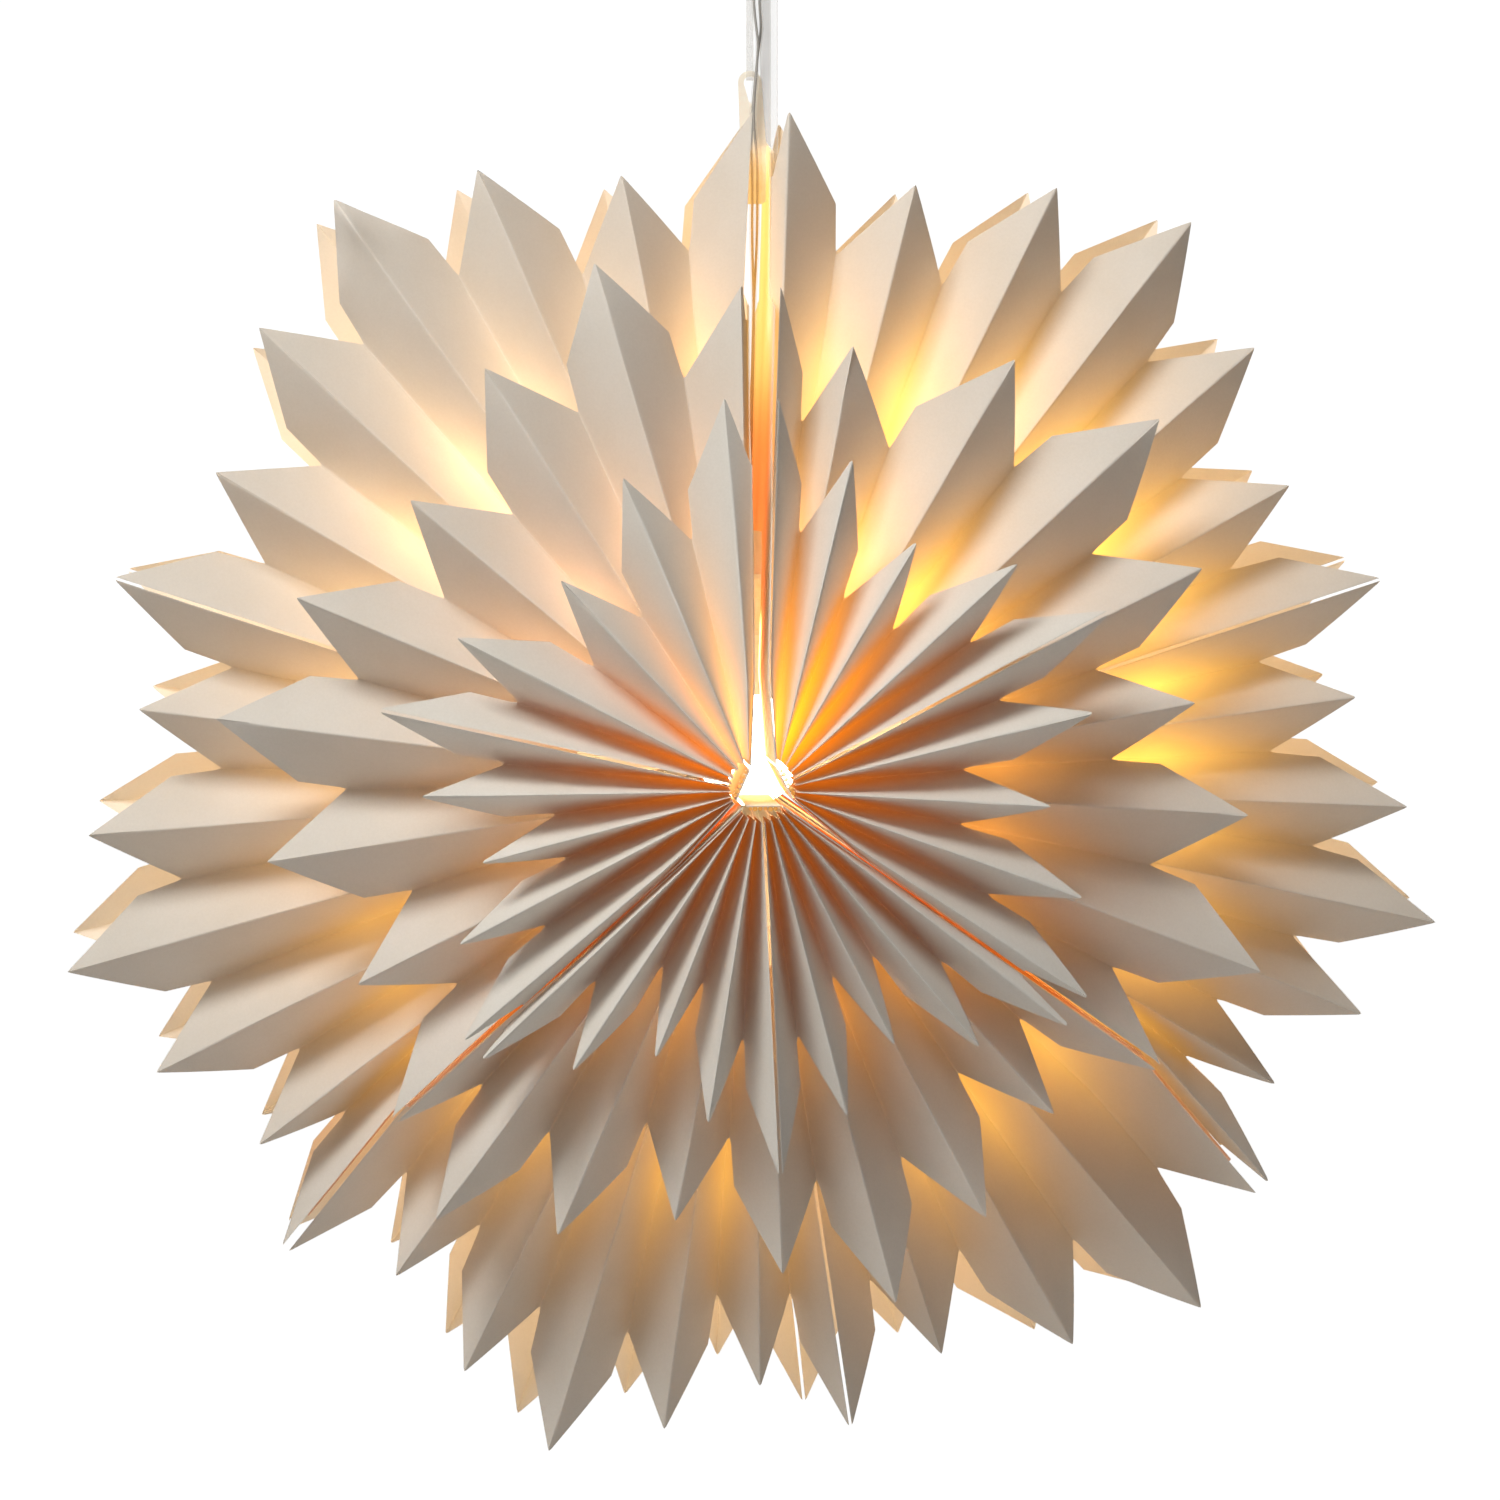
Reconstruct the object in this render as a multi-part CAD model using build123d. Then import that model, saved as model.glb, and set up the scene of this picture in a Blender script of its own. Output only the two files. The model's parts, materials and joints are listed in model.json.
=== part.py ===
from build123d import *
from collections import Counter, namedtuple
import math
import os

# Paper snowflake star with a lamp inside, on a ribbon.  Millimetres, +Z up.
# The star's axis is the Y axis and its front faces -Y.  Dimensions are measured
# from the middle of the star; the written solids are moved so that the origin is
# the inside top of the ribbon loop.  Azimuths are in degrees clockwise from +Z
# as seen from the front (+X is at 90).  Plan points are (x, z).

# ---------------------------------------------------------------- card and paper
SHEET_T = 0.35          # pleated paper, doubled at the creases
SHEET_T_MAX = 11.0      # most a steep pleat may measure along Y at a crease
COVER_T = 0.50          # cover card: leaves and spines
SPINE_W = 15.3          # width of a book spine = thickness of a shut book
FOLD_GAP = 0.7          # card starts this far from its fold line
HUB_Y = 134.0           # front (and back) of the hub, from the middle plane
LAMP_BAY_R = 105.0      # cut-out in every cover leaf that leaves room for the lamp
LAMP_BAY_Y = 52.0
LAMP_BAY_CHAMFER = (12.0, 8.0)    # along the leaf, along Y
LEAF_BLANK_Y = 150.0    # half depth of the uncut leaf
LEAF_BLANK_LIFT = 25.0  # half reach, across the leaf, of the outline that trims it
LEAF_START = -2.0       # leaf outline starts this far inside the fold line
TAB_SLOT_Y = 0.65       # half width of the slot for the hanging tab

SHOULDER = 0.87         # where a long petal's cut edge breaks, ridge to valley
SHOULDER_MIN = 2.0      # shortest cut-back beyond the notch that gets a shoulder
SEAM_GAP = 0.62         # half gap between two sheets glued side by side
BESIDE = 0.45           # closest a pleat runs to the middle of its cover leaf
END_PANEL_MIN = 2.4     # an end ridge further than this from its leaf gets an end panel
END_PANEL_GAP = 0.4     # extra room at the hub for that end panel
END_PANEL_CUT = (4.0, 27.0)       # its cut-back: times the ridge distance, at most
FAN_OUT_R = 14.0        # from this radius an end ridge leaves its cover leaf
HALF_PITCH_MIN = 0.8
DEPTH_MIN = 0.35        # least pleat depth, as a share of the panel width

BEND_R = (46.0, 205.0, 290.0)     # radii where the cover leaves bend, and their end

# tips: tip radii of long, middle and short petals; inner_r: where the sheets start;
# panel_w: crease to crease width; ridge line: y = ridge_y0 + ridge_slope * r;
# cut: how far a petal's cut edge falls back to its valley; end_fold: how deep an
# end panel folds back against its leaf; bend_r: radius of the middle ring of creases
Tier = namedtuple("Tier", "tips inner_r panel_w ridge_y0 ridge_slope cut end_fold bend_r")
TIERS = {
    "inner": Tier(tips={"L": 159.8, "M": 139.6, "S": 118.9}, inner_r=13.5, panel_w=31.0,
                  ridge_y0=-HUB_Y, ridge_slope=0.082, cut=32.5, end_fold=6.0,
                  bend_r=BEND_R[0]),
    "middle": Tier(tips={"L": 227.1, "M": 207.0, "S": 186.7}, inner_r=77.0, panel_w=36.0,
                   ridge_y0=-101.5, ridge_slope=0.077, cut=33.1, end_fold=8.0,
                   bend_r=None),
    "outer": Tier(tips={"L": 302.9, "M": 283.1, "S": 261.8}, inner_r=135.0, panel_w=36.0,
                  ridge_y0=-73.7, ridge_slope=0.131, cut=33.9, end_fold=10.0,
                  bend_r=BEND_R[1]),
}
FREE_BEND = 0.64        # place of the middle ring where a tier has no bend_r

# spine middles (x, z) and the azimuth from each spine's end 0 to its end 1; the
# three spines enclose the small open throat of the hub
SPINES = {"left": ((-8.6, 2.0), 204.0), "bottom": ((-0.4, -6.6), 90.0),
          "right": ((8.6, 2.6), 152.7)}

# cover leaves clockwise: book, spine end they fold at, side on which their own
# book lies (+1 clockwise, -1 the other way), azimuths at BEND_R
Leaf = namedtuple("Leaf", "book end side azimuths")
LEAVES = {
    "right_upper": Leaf("right", 0, 1, (2.9, 2.1, 1.8)),
    "right_lower": Leaf("right", 1, -1, (124.75, 125.42, 129.55)),
    "bottom_right": Leaf("bottom", 1, 1, (126.25, 125.58, 129.67)),
    "bottom_left": Leaf("bottom", 0, -1, (226.95, 227.17, 224.69)),
    "left_lower": Leaf("left", 1, 1, (228.45, 227.33, 224.81)),
    "left_upper": Leaf("left", 0, -1, (355.6, 359.0, 0.25)),
}

# (ridge azimuth, petal size) along each glued sheet, clockwise, per tier and book
SHEETS = {
    "inner": {
        "right": [[(2.2, "L"), (15.1, "M"), (31.6, "S"), (48.6, "M"), (63.2, "L")],
                  [(63.2, "L"), (77.2, "M"), (93.7, "S"), (109.1, "M"), (122.8, "L")]],
        "bottom": [[(128.0, "L"), (140.1, "M"), (152.8, "S"), (165.5, "M"), (177.3, "L")],
                   [(177.3, "L"), (189.2, "M"), (201.6, "S"), (213.9, "M"), (225.9, "L")]],
        "left": [[(230.0, "L"), (242.8, "M"), (255.3, "S"), (268.8, "M"), (281.7, "L")],
                 [(281.7, "L"), (296.5, "M"), (316.2, "S"), (336.0, "M"), (354.4, "L")]]},
    "middle": {
        "right": [[(2.6, "M"), (12.1, "S"), (31.2, "M"), (47.9, "L"), (64.3, "M"),
                   (79.7, "S"), (93.9, "M"), (110.7, "L"), (125.1, "M")]],
        "bottom": [[(125.9, "M"), (138.2, "S"), (152.3, "M"), (165.1, "L"), (177.0, "M"),
                    (190.6, "S"), (203.9, "M"), (216.4, "L"), (226.9, "M")]],
        "left": [[(227.6, "M"), (243.3, "S"), (261.1, "M"), (276.9, "L"), (292.1, "M"),
                  (309.4, "S"), (326.8, "M"), (342.6, "L"), (358.1, "M")]]},
    "outer": {
        "right": [[(3.3, "M"), (15.4, "S"), (27.4, "M"), (38.5, "L"), (49.6, "M"),
                   (61.6, "S"), (72.7, "M")],
                  [(72.7, "M"), (82.6, "S"), (92.8, "M"), (102.2, "L"), (111.4, "M"),
                   (120.6, "S"), (128.1, "M")]],
        "bottom": [[(129.6, "M"), (139.8, "L"), (150.5, "M"), (161.8, "S"), (171.3, "M")],
                   [(171.3, "M"), (179.2, "S"), (187.6, "M"), (196.7, "L"), (205.8, "M"),
                    (215.5, "S"), (224.4, "M")]],
        "left": [[(225.1, "M"), (233.3, "S"), (243.7, "M"), (254.2, "L"), (265.1, "M"),
                  (276.5, "S"), (287.5, "M")],
                 [(287.5, "M"), (299.8, "S"), (312.5, "M"), (324.2, "L"), (335.8, "M"),
                  (347.9, "S"), (360.1, "M")]]},
}
# the back petals sit a little round from the front's: (degrees, half waves) of a
# sine along each book
BACK_SHIFT = {"right": (-1.7, 1.0), "bottom": (3.2, 1.0), "left": (2.2, 2.0)}

# ---------------------------------------------------------------- hanger sizes
# the tab is a plate in the XZ plane that bridges the top seam; its teardrop hole
# has a large round top and a small round foot
TAB_T = 0.8
TAB_FOOT = 246.0
TAB_HEAD_R = 5.1
HOLE_TOP, HOLE_TOP_R = (1.35, 298.2), 2.65
HOLE_LOW, HOLE_LOW_R = (2.0, 290.8), 1.3
RIBBON_W, RIBBON_T, RIBBON_TOP = 3.2, 0.25, 396.0
RIBBON_FOOT = HOLE_TOP[1] + HOLE_TOP_R - 1.8
HANG_AT = (HOLE_TOP[0], 0.0, RIBBON_TOP - RIBBON_T)     # becomes the origin
# the ribbon's wider rear strand
STRAND_X, STRAND_W, STRAND_T, STRAND_FOOT = 9.6, 7.6, 0.2, 264.2
STRAND_Y = TAB_T / 2 + 0.13
STRAND_TOP = RIBBON_TOP - 2.0

# ---------------------------------------------------------------- lamp sizes
# flat two-core cable, E14 lampholder and bulb, on a vertical axis at x = LAMP_X
CABLE_TOP = 396.0
CORE_PITCH, CORE_R, CORE_CLEARANCE, JACKET_R = 2.4, 0.55, 0.05, 1.3
LAMP_X = 1.0
HOLDER_R, HOLDER_LOW, HOLDER_TOP = 13.5, 34.0, 86.0
CAP_R, SLEEVE_R, SLEEVE_T = 6.9, 7.0, 0.5
CORE_BORE_R = SLEEVE_R + SLEEVE_T + 0.05
GLOBE_R, GLOBE_Z, GLASS_T, NECK_R = 22.5, 8.0, 0.8, 6.6
CABLE_PATH = [(LAMP_X, 0.0, HOLDER_TOP - 5.0), (LAMP_X, 0.0, HOLDER_TOP + 14.0),
              (2.6, -4.6, 190.0), (4.3, -5.2, 262.0), (5.4, -5.2, 310.0),
              (4.8, -5.2, CABLE_TOP)]

# half sections of the turned lamp pieces: (radius, z)
LAMP_PROFILES = {
    "lampholder_shell": [
        (HOLDER_R - 1.6, HOLDER_LOW), (HOLDER_R, HOLDER_LOW), (HOLDER_R, 60.0),
        (HOLDER_R - 1.2, 62.0), (HOLDER_R - 1.2, 76.0), (9.0, HOLDER_TOP - 2.0),
        (7.0, HOLDER_TOP), (3.9, HOLDER_TOP), (3.9, HOLDER_TOP - 4.0),
        (6.5, HOLDER_TOP - 4.0), (HOLDER_R - 2.8, 74.5), (HOLDER_R - 2.8, 61.0),
        (HOLDER_R - 1.6, 59.5)],
    "lampholder_core": [
        (CORE_BORE_R, 37.0), (HOLDER_R - 1.7, 37.0), (HOLDER_R - 1.7, 59.4), (10.2, 61.5),
        (10.2, 67.0), (3.2, 67.0), (3.2, 62.0), (CORE_BORE_R, 62.0)],
    "lampholder_thread_sleeve": [
        (SLEEVE_R, 38.0), (SLEEVE_R + SLEEVE_T, 38.0), (SLEEVE_R + SLEEVE_T, 61.0),
        (SLEEVE_R, 61.0)],
    "bulb_cap": [(0.0, 38.2), (CAP_R, 38.2), (CAP_R, 57.0), (5.6, 58.2), (0.0, 58.2)],
    "bulb_base_contact": [(0.0, 58.25), (3.4, 58.25), (2.6, 60.9), (0.0, 60.9)],
}


# ---------------------------------------------------------------- plan helpers
def polar(r, azimuth):
    angle = math.radians(azimuth)
    return (r * math.sin(angle), r * math.cos(angle))


def mix(p, q, share):
    return (p[0] + (q[0] - p[0]) * share, p[1] + (q[1] - p[1]) * share)


def dist(p, q):
    return math.hypot(p[0] - q[0], p[1] - q[1])


def unit(p, q):
    length = dist(p, q)
    return ((q[0] - p[0]) / length, (q[1] - p[1]) / length)


def beside(point, start, end, offset):
    """The point moved by offset to the clockwise side of the way start to end."""
    ux, uz = unit(start, end)
    return (point[0] + uz * offset, point[1] - ux * offset)


def spine_ends(book):
    middle, azimuth = SPINES[book]
    dx, dz = polar(SPINE_W / 2, azimuth)
    return ((middle[0] - dx, middle[1] - dz), (middle[0] + dx, middle[1] + dz))


def fold_point(leaf_name):
    leaf = LEAVES[leaf_name]
    return spine_ends(leaf.book)[leaf.end]


def leaf_points(leaf_name):
    bends = zip(BEND_R, LEAVES[leaf_name].azimuths)
    return [fold_point(leaf_name)] + [polar(r, azimuth) for r, azimuth in bends]


def leaf_plan(leaf_name, r, offset=0.0):
    """Point of the leaf's middle surface at radius r, moved sideways by offset
    towards the inside of its book."""
    points = leaf_points(leaf_name)
    k = sum(1 for bend in BEND_R[:-1] if r > bend)
    p, q = points[k], points[k + 1]
    rp, rq = math.hypot(*p), math.hypot(*q)
    base = mix(p, q, (r - rp) / (rq - rp))
    return beside(base, p, q, LEAVES[leaf_name].side * offset)


def ridge_y(tier, r):
    return tier.ridge_y0 + tier.ridge_slope * r


def polygon(points):
    return Face(Wire.make_polygon([Vector(*point) for point in points]))


def extrude_plan(outline, y0, y1):
    """Prism along Y from y0 to y1 over an (x, z) outline."""
    return Solid.extrude(polygon([(x, y0, z) for x, z in outline]), Vector(0, y1 - y0, 0))


# ---------------------------------------------------------------- pleated sheets
# line: function from radius to plan point; outer_r: radius where the crease ends
Crease = namedtuple("Crease", "kind line outer_r")


def solid_from_height_field(points, triangles):
    """Closed sheet from its front surface y back to y + t.
    points: list of (x, y, z, t); triangles: index triples."""
    front = [(x, y, z) for x, y, z, t in points]
    back = [(x, y + t, z) for x, y, z, t in points]
    faces = []
    for a, b, c in triangles:
        faces.append(polygon([front[a], front[b], front[c]]))
        faces.append(polygon([back[c], back[b], back[a]]))
    edges = Counter((min(edge), max(edge)) for a, b, c in triangles
                    for edge in ((a, b), (b, c), (c, a)))
    for (a, b), uses in edges.items():
        if uses == 1:
            faces.append(polygon([front[a], front[b], back[b], back[a]]))
    return Solid(Shell(faces))


def seam_line(line, offset):
    """Crease line moved sideways to leave the gap to the next sheet."""
    return lambda r: beside(line(r), line(r), line(r + 1.0), offset)


def midway(line_a, line_b):
    return lambda r: mix(line_a(r), line_b(r), 0.5)


def leaf_side(leaf_name, azimuth, tip_r):
    """Ridge line that runs beside a leaf and ends at its own azimuth, and a list
    with the crease of the end panel where the two part far enough."""
    far = max(dist(leaf_plan(leaf_name, tip_r), polar(tip_r, azimuth)), BESIDE)
    near = BESIDE
    end_creases = []
    if far > END_PANEL_MIN:
        near += END_PANEL_GAP
        factor, most = END_PANEL_CUT
        end_creases = [Crease("end", lambda r: leaf_plan(leaf_name, r, BESIDE),
                              tip_r - min(most, far * factor))]

    def ridge(r):
        share = max(0.0, r - FAN_OUT_R) / (tip_r - FAN_OUT_R)
        return leaf_plan(leaf_name, r, near + (far - near) * share)

    return ridge, end_creases


def sheet_creases(tier_name, book, index, shift, half_waves):
    """Creases of one sheet, clockwise."""
    tier = TIERS[tier_name]
    sheets = SHEETS[tier_name][book]
    ridges = sheets[index]
    first_leaf, last_leaf = [name for name in LEAVES if LEAVES[name].book == book]
    low, high = sheets[0][0][0], sheets[-1][-1][0]
    long_r = tier.tips["L"]

    def ray(azimuth):
        """Straight crease line in plan, from the spine to the long-petal circle."""
        share = (azimuth - low) / (high - low)
        start = mix(fold_point(first_leaf), fold_point(last_leaf), share)
        end = polar(long_r, azimuth)
        start_r = math.hypot(*start)
        return lambda r: mix(start, end, (r - start_r) / (long_r - start_r))

    creases = []
    for i, (azimuth, size) in enumerate(ridges):
        azimuth += shift * math.sin(half_waves * math.pi * (azimuth - low) / (high - low))
        tip_r = tier.tips[size]
        line = ray(azimuth)
        before, after = [], []
        if i == 0:
            if index == 0:
                line, before = leaf_side(first_leaf, azimuth, tip_r)
            else:
                line = seam_line(line, SEAM_GAP)
        if i == len(ridges) - 1:
            if index == len(sheets) - 1:
                line, after = leaf_side(last_leaf, azimuth, tip_r)
            else:
                line = seam_line(line, -SEAM_GAP)
        creases += before
        if i:
            previous = creases[-1]
            notch_r = min(previous.outer_r, tip_r) - tier.cut
            creases.append(Crease("valley", midway(previous.line, line), notch_r))
        creases.append(Crease("ridge", line, tip_r))
        creases += after
    return creases


def make_sheet(tier_name, book, index, side):
    """One pleated sheet of the front or the back face."""
    shift, half_waves = BACK_SHIFT[book] if side == "back" else (0.0, 1.0)
    tier = TIERS[tier_name]
    creases = sheet_creases(tier_name, book, index, shift, half_waves)
    common_r = min(crease.outer_r for crease in creases)
    bend_r = tier.bend_r or tier.inner_r + (common_r - tier.inner_r) * FREE_BEND
    stations = [tier.inner_r, (tier.inner_r + bend_r) / 2, bend_r, common_r]
    points, triangles = [], []

    def half_pitch(i, r):
        here = creases[i].line(r)
        gaps = [dist(here, creases[j].line(r)) for j in (i - 1, i + 1)
                if 0 <= j < len(creases)]
        return max(HALF_PITCH_MIN, sum(gaps) / len(gaps))

    def depth(pitch):
        """How far a valley lies behind its ridges."""
        width = tier.panel_w
        return math.sqrt(max(width ** 2 - pitch ** 2, (DEPTH_MIN * width) ** 2))

    def add(i, r):
        x, z = creases[i].line(r)
        pitch = half_pitch(i, r)
        y = ridge_y(tier, r)
        if creases[i].kind == "valley":
            y += depth(pitch)
        elif creases[i].kind == "end":
            y += tier.end_fold
        points.append((x, y, z, min(SHEET_T * tier.panel_w / pitch, SHEET_T_MAX)))
        return len(points) - 1

    def add_shoulder(ridge, valley, r):
        p, q = ridge.line(r), valley.line(r)
        x, z = mix(p, q, SHOULDER)
        pitch = max(HALF_PITCH_MIN, dist(p, q))
        y = ridge_y(tier, r) + SHOULDER * depth(pitch)
        points.append((x, y, z, SHEET_T * tier.panel_w / pitch))
        return len(points) - 1

    grid = [[add(i, r) for r in stations] for i in range(len(creases))]
    tips = [grid[i][-1] if crease.outer_r - common_r < 0.01 else add(i, crease.outer_r)
            for i, crease in enumerate(creases)]

    for i in range(len(creases) - 1):
        for k in range(len(stations) - 1):
            a, b, c, d = grid[i][k], grid[i][k + 1], grid[i + 1][k + 1], grid[i + 1][k]
            triangles += [(a, b, c), (a, c, d)]
        # outer part: ridge corner, valley corner, notch, shoulder, tip
        ridge_i, low_i = (i, i + 1) if creases[i].kind == "ridge" else (i + 1, i)
        ridge, low = creases[ridge_i], creases[low_i]
        ring = [grid[ridge_i][-1], grid[low_i][-1]]
        if tips[low_i] != grid[low_i][-1]:
            ring.append(tips[low_i])
        shoulder_r = ridge.outer_r - tier.cut
        if low.kind == "valley" and shoulder_r - low.outer_r > SHOULDER_MIN:
            ring.append(add_shoulder(ridge, low, shoulder_r))
        ring.append(tips[ridge_i])
        if ridge_i == i:
            ring = [ring[0]] + ring[:0:-1]
        for k in range(1, len(ring) - 1):
            triangles.append((ring[0], ring[k], ring[k + 1]))
    sheet = solid_from_height_field(points, triangles)
    return sheet.mirror(Plane.XZ) if side == "back" else sheet


# ---------------------------------------------------------------- covers
def make_leaf(leaf_name):
    """Cover leaf: card that runs out from its fold line, stepped tier by tier."""
    points = leaf_points(leaf_name)
    start, far = points[0], points[-1]
    run = [mix(start, points[1], FOLD_GAP / dist(start, points[1]))] + points[1:]
    left, right = [], []
    for i, p in enumerate(run):
        a, b = run[max(0, i - 1)], run[min(len(run) - 1, i + 1)]
        left.append(beside(p, a, b, -COVER_T / 2))
        right.append(beside(p, a, b, COVER_T / 2))
    band = extrude_plan(left + right[::-1], -LEAF_BLANK_Y, LEAF_BLANK_Y)

    # outline seen along the leaf's normal: (distance along the leaf, y)
    ux, uz = unit(start, far)

    def along(r):
        p = leaf_plan(leaf_name, r)
        return (p[0] - start[0]) * ux + (p[1] - start[1]) * uz

    inner, middle, outer = TIERS.values()
    step_r = middle.tips["M"]
    edge = [  # front edge: (radius, y)
        (BEND_R[0], -HUB_Y + 8.0),
        (110, ridge_y(inner, 110) + 13.0),
        (150, ridge_y(middle, 150) + 1.5),
        (step_r - 8, ridge_y(middle, step_r) + 2.5),
        (step_r - 1, ridge_y(outer, step_r) + 10.0),
        (268, ridge_y(outer, 268) + 14.0),
        (271, -6.0),
    ]
    if "upper" in leaf_name:
        edge += [(271, -TAB_SLOT_Y), (TAB_FOOT - 0.5, -TAB_SLOT_Y)]
    front = [(LEAF_START, -HUB_Y + 0.8)] + [(along(r), y) for r, y in edge]
    chamfer_r, chamfer_y = LAMP_BAY_CHAMFER
    bay = [(along(LAMP_BAY_R), LAMP_BAY_Y - chamfer_y),
           (along(LAMP_BAY_R - chamfer_r), LAMP_BAY_Y), (LEAF_START, LAMP_BAY_Y)]
    outline = front + [(s, -y) for s, y in front[::-1]]
    outline += bay[::-1] + [(s, -y) for s, y in bay]

    corners = []
    for s, y in outline:
        base = (start[0] + ux * s, start[1] + uz * s)
        x, z = beside(base, start, far, -LEAF_BLANK_LIFT)
        corners.append((x, y, z))
    lift = 2 * LEAF_BLANK_LIFT
    blank = Solid.extrude(polygon(corners), Vector(uz * lift, 0, -ux * lift))
    return band & blank


def make_spine(book):
    """Spine card, in a front and a back length with the lamp bay between."""
    a, b = spine_ends(book)
    p, q = mix(a, b, FOLD_GAP / SPINE_W), mix(a, b, 1 - FOLD_GAP / SPINE_W)
    half = COVER_T / 2
    ring = [beside(p, a, b, -half), beside(q, a, b, -half),
            beside(q, a, b, half), beside(p, a, b, half)]
    return Compound([extrude_plan(ring, y0, y1)
                     for y0, y1 in ((-HUB_Y, -LAMP_BAY_Y), (LAMP_BAY_Y, HUB_Y))])


def make_glue(book):
    """Clear hot-glue beads on the outer face of a spine, where the pleats start."""
    a, b = spine_ends(book)
    ux, uz = unit(a, b)
    out_x, out_z = -uz, ux
    middle = SPINES[book][0]
    if out_x * middle[0] + out_z * middle[1] < 0:
        out_x, out_z = -out_x, -out_z
    beads = []
    count, margin = 6, 0.09
    for k in range(count):
        x, z = mix(a, b, margin + (1 - 2 * margin) * (k + 0.5) / count)
        # radius and distance from the hub's end vary from bead to bead
        radius = 0.78 + 0.12 * ((k * 5) % 3)
        inset = 1.6 + 0.9 * ((k * 3) % 4)
        off = COVER_T / 2 + radius + 0.06
        for side in (-1, 1):
            place = Pos(x + out_x * off, side * (HUB_Y - inset), z + out_z * off)
            beads.append(place * Sphere(radius))
    return Compound([solid for bead in beads for solid in bead.solids()])


# ---------------------------------------------------------------- hanger
def disc(centre, radius, depth):
    return Pos(centre[0], 0, centre[1]) * Rot(90, 0, 0) * Cylinder(radius, depth)


def make_tab():
    x, z = HOLE_TOP
    outline = [(x - TAB_HEAD_R, z), (x + TAB_HEAD_R, z), (8.2, 273.0), (11.7, 268.5),
               (11.5, 264.0), (9.0, TAB_FOOT + 1.8), (6.4, TAB_FOOT), (-2.4, TAB_FOOT),
               (-2.8, 273.0)]
    shank = extrude_plan(outline, -TAB_T / 2, TAB_T / 2)
    head = disc(HOLE_TOP, TAB_HEAD_R, TAB_T)
    # the two round ends of the hole and their common tangents
    ux, uz = unit(HOLE_TOP, HOLE_LOW)
    sine = (HOLE_TOP_R - HOLE_LOW_R) / dist(HOLE_TOP, HOLE_LOW)
    cosine = math.sqrt(1 - sine * sine)
    cutter_t = TAB_T * 3
    ends = ((HOLE_TOP, HOLE_TOP_R), (HOLE_LOW, HOLE_LOW_R))
    corners = []
    for (centre, radius), sides in zip(ends, ((1, -1), (-1, 1))):
        for side in sides:
            corners.append((centre[0] + radius * (ux * sine - side * uz * cosine),
                            centre[1] + radius * (uz * sine + side * ux * cosine)))
    hole = extrude_plan(corners, -cutter_t / 2, cutter_t / 2)
    for centre, radius in ends:
        hole = hole + disc(centre, radius, cutter_t)
    return (shank + head) - hole


def ribbon_prism(half, grow):
    """Prism along X over a (y, z) half outline and its mirror image."""
    x0 = HOLE_TOP[0] - RIBBON_W / 2 - grow
    ring = half + [(-y, z) for y, z in half[::-1]]
    return Solid.extrude(polygon([(x0, y, z) for y, z in ring]),
                         Vector(RIBBON_W + 2 * grow, 0, 0))


def make_ribbon():
    """Closed ribbon loop threaded through the tab's hole; a flat band in side view."""
    foot, top, t = RIBBON_FOOT, RIBBON_TOP, RIBBON_T
    narrow, wide = 1.1, 1.9     # half depth of the loop, low and high
    outer = [(0.75, foot), (narrow, foot + 0.4), (narrow, foot + 30),
             (wide, top - 14), (wide, top - 1.2), (1.0, top)]
    inner = [(0.65, foot + t), (narrow - t, foot + 0.5), (narrow - t, foot + 30),
             (wide - t, top - 14), (wide - t, top - 1.3), (0.9, top - t)]
    return ribbon_prism(outer, 0.0) - ribbon_prism(inner, 1.0)


def make_strand():
    """Wider strand of the same ribbon, which runs down behind the tab into the seam."""
    return (Pos(STRAND_X, STRAND_Y, (STRAND_FOOT + STRAND_TOP) / 2)
            * Box(STRAND_W, STRAND_T, STRAND_TOP - STRAND_FOOT))


# ---------------------------------------------------------------- lamp
def sweep_cable(section):
    path = Wire([Edge.make_spline([Vector(*point) for point in CABLE_PATH],
                                  tangents=[Vector(0, 0, 1), Vector(0, 0, 1)])])
    return sweep(Pos(*CABLE_PATH[0]) * section, path=path)


def make_core(side, radius=CORE_R):
    """Round core of the cable; side -1 is the front one."""
    return sweep_cable(Pos(0, side * CORE_PITCH / 2) * Circle(radius))


def make_jacket():
    body = sweep_cable(Rot(0, 0, 90) * SlotCenterToCenter(CORE_PITCH, 2 * JACKET_R))
    for side in (-1, 1):
        body = body - make_core(side, CORE_R + CORE_CLEARANCE)
    return body


def revolve_lamp(profile):
    """Solid of revolution about the lamp's own axis; profile is (radius, z)."""
    face = polygon([(r, 0, z) for r, z in profile])
    return Pos(LAMP_X, 0, 0) * revolve(face, Axis.Z, 360)


def make_centre_contact():
    blade = Pos(LAMP_X, 0, 61.3) * Box(5.0, 3.0, 0.4)
    stem = Pos(LAMP_X, 0, 66.0) * Box(1.2, 3.0, 9.0)
    return blade + stem


def make_cord_grip():
    """Block with two upright holes for the leads."""
    grip_z = 73.5
    clamp = Pos(LAMP_X, 0, grip_z) * Box(7.0, 12.0, 3.0)
    for side in (-1, 1):
        clamp = clamp - Pos(LAMP_X, side * 3.2, grip_z) * Cylinder(1.0, 9)
    return clamp


def glass_profile(radius, neck):
    """Half outline of the glass: round globe running up into a neck."""
    points = []
    for k in range(13):
        angle = math.radians(-90 + k * 10.8)
        points.append((max(0.0, radius * math.cos(angle)),
                       GLOBE_Z + radius * math.sin(angle)))
    return points + [(neck + 3.4, 31.6), (neck + 0.6, 35.4), (neck, 38.1)]


def make_glass():
    outer = glass_profile(GLOBE_R, NECK_R)
    inner = glass_profile(GLOBE_R - GLASS_T, NECK_R - GLASS_T)
    return revolve_lamp(outer + inner[::-1])


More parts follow.
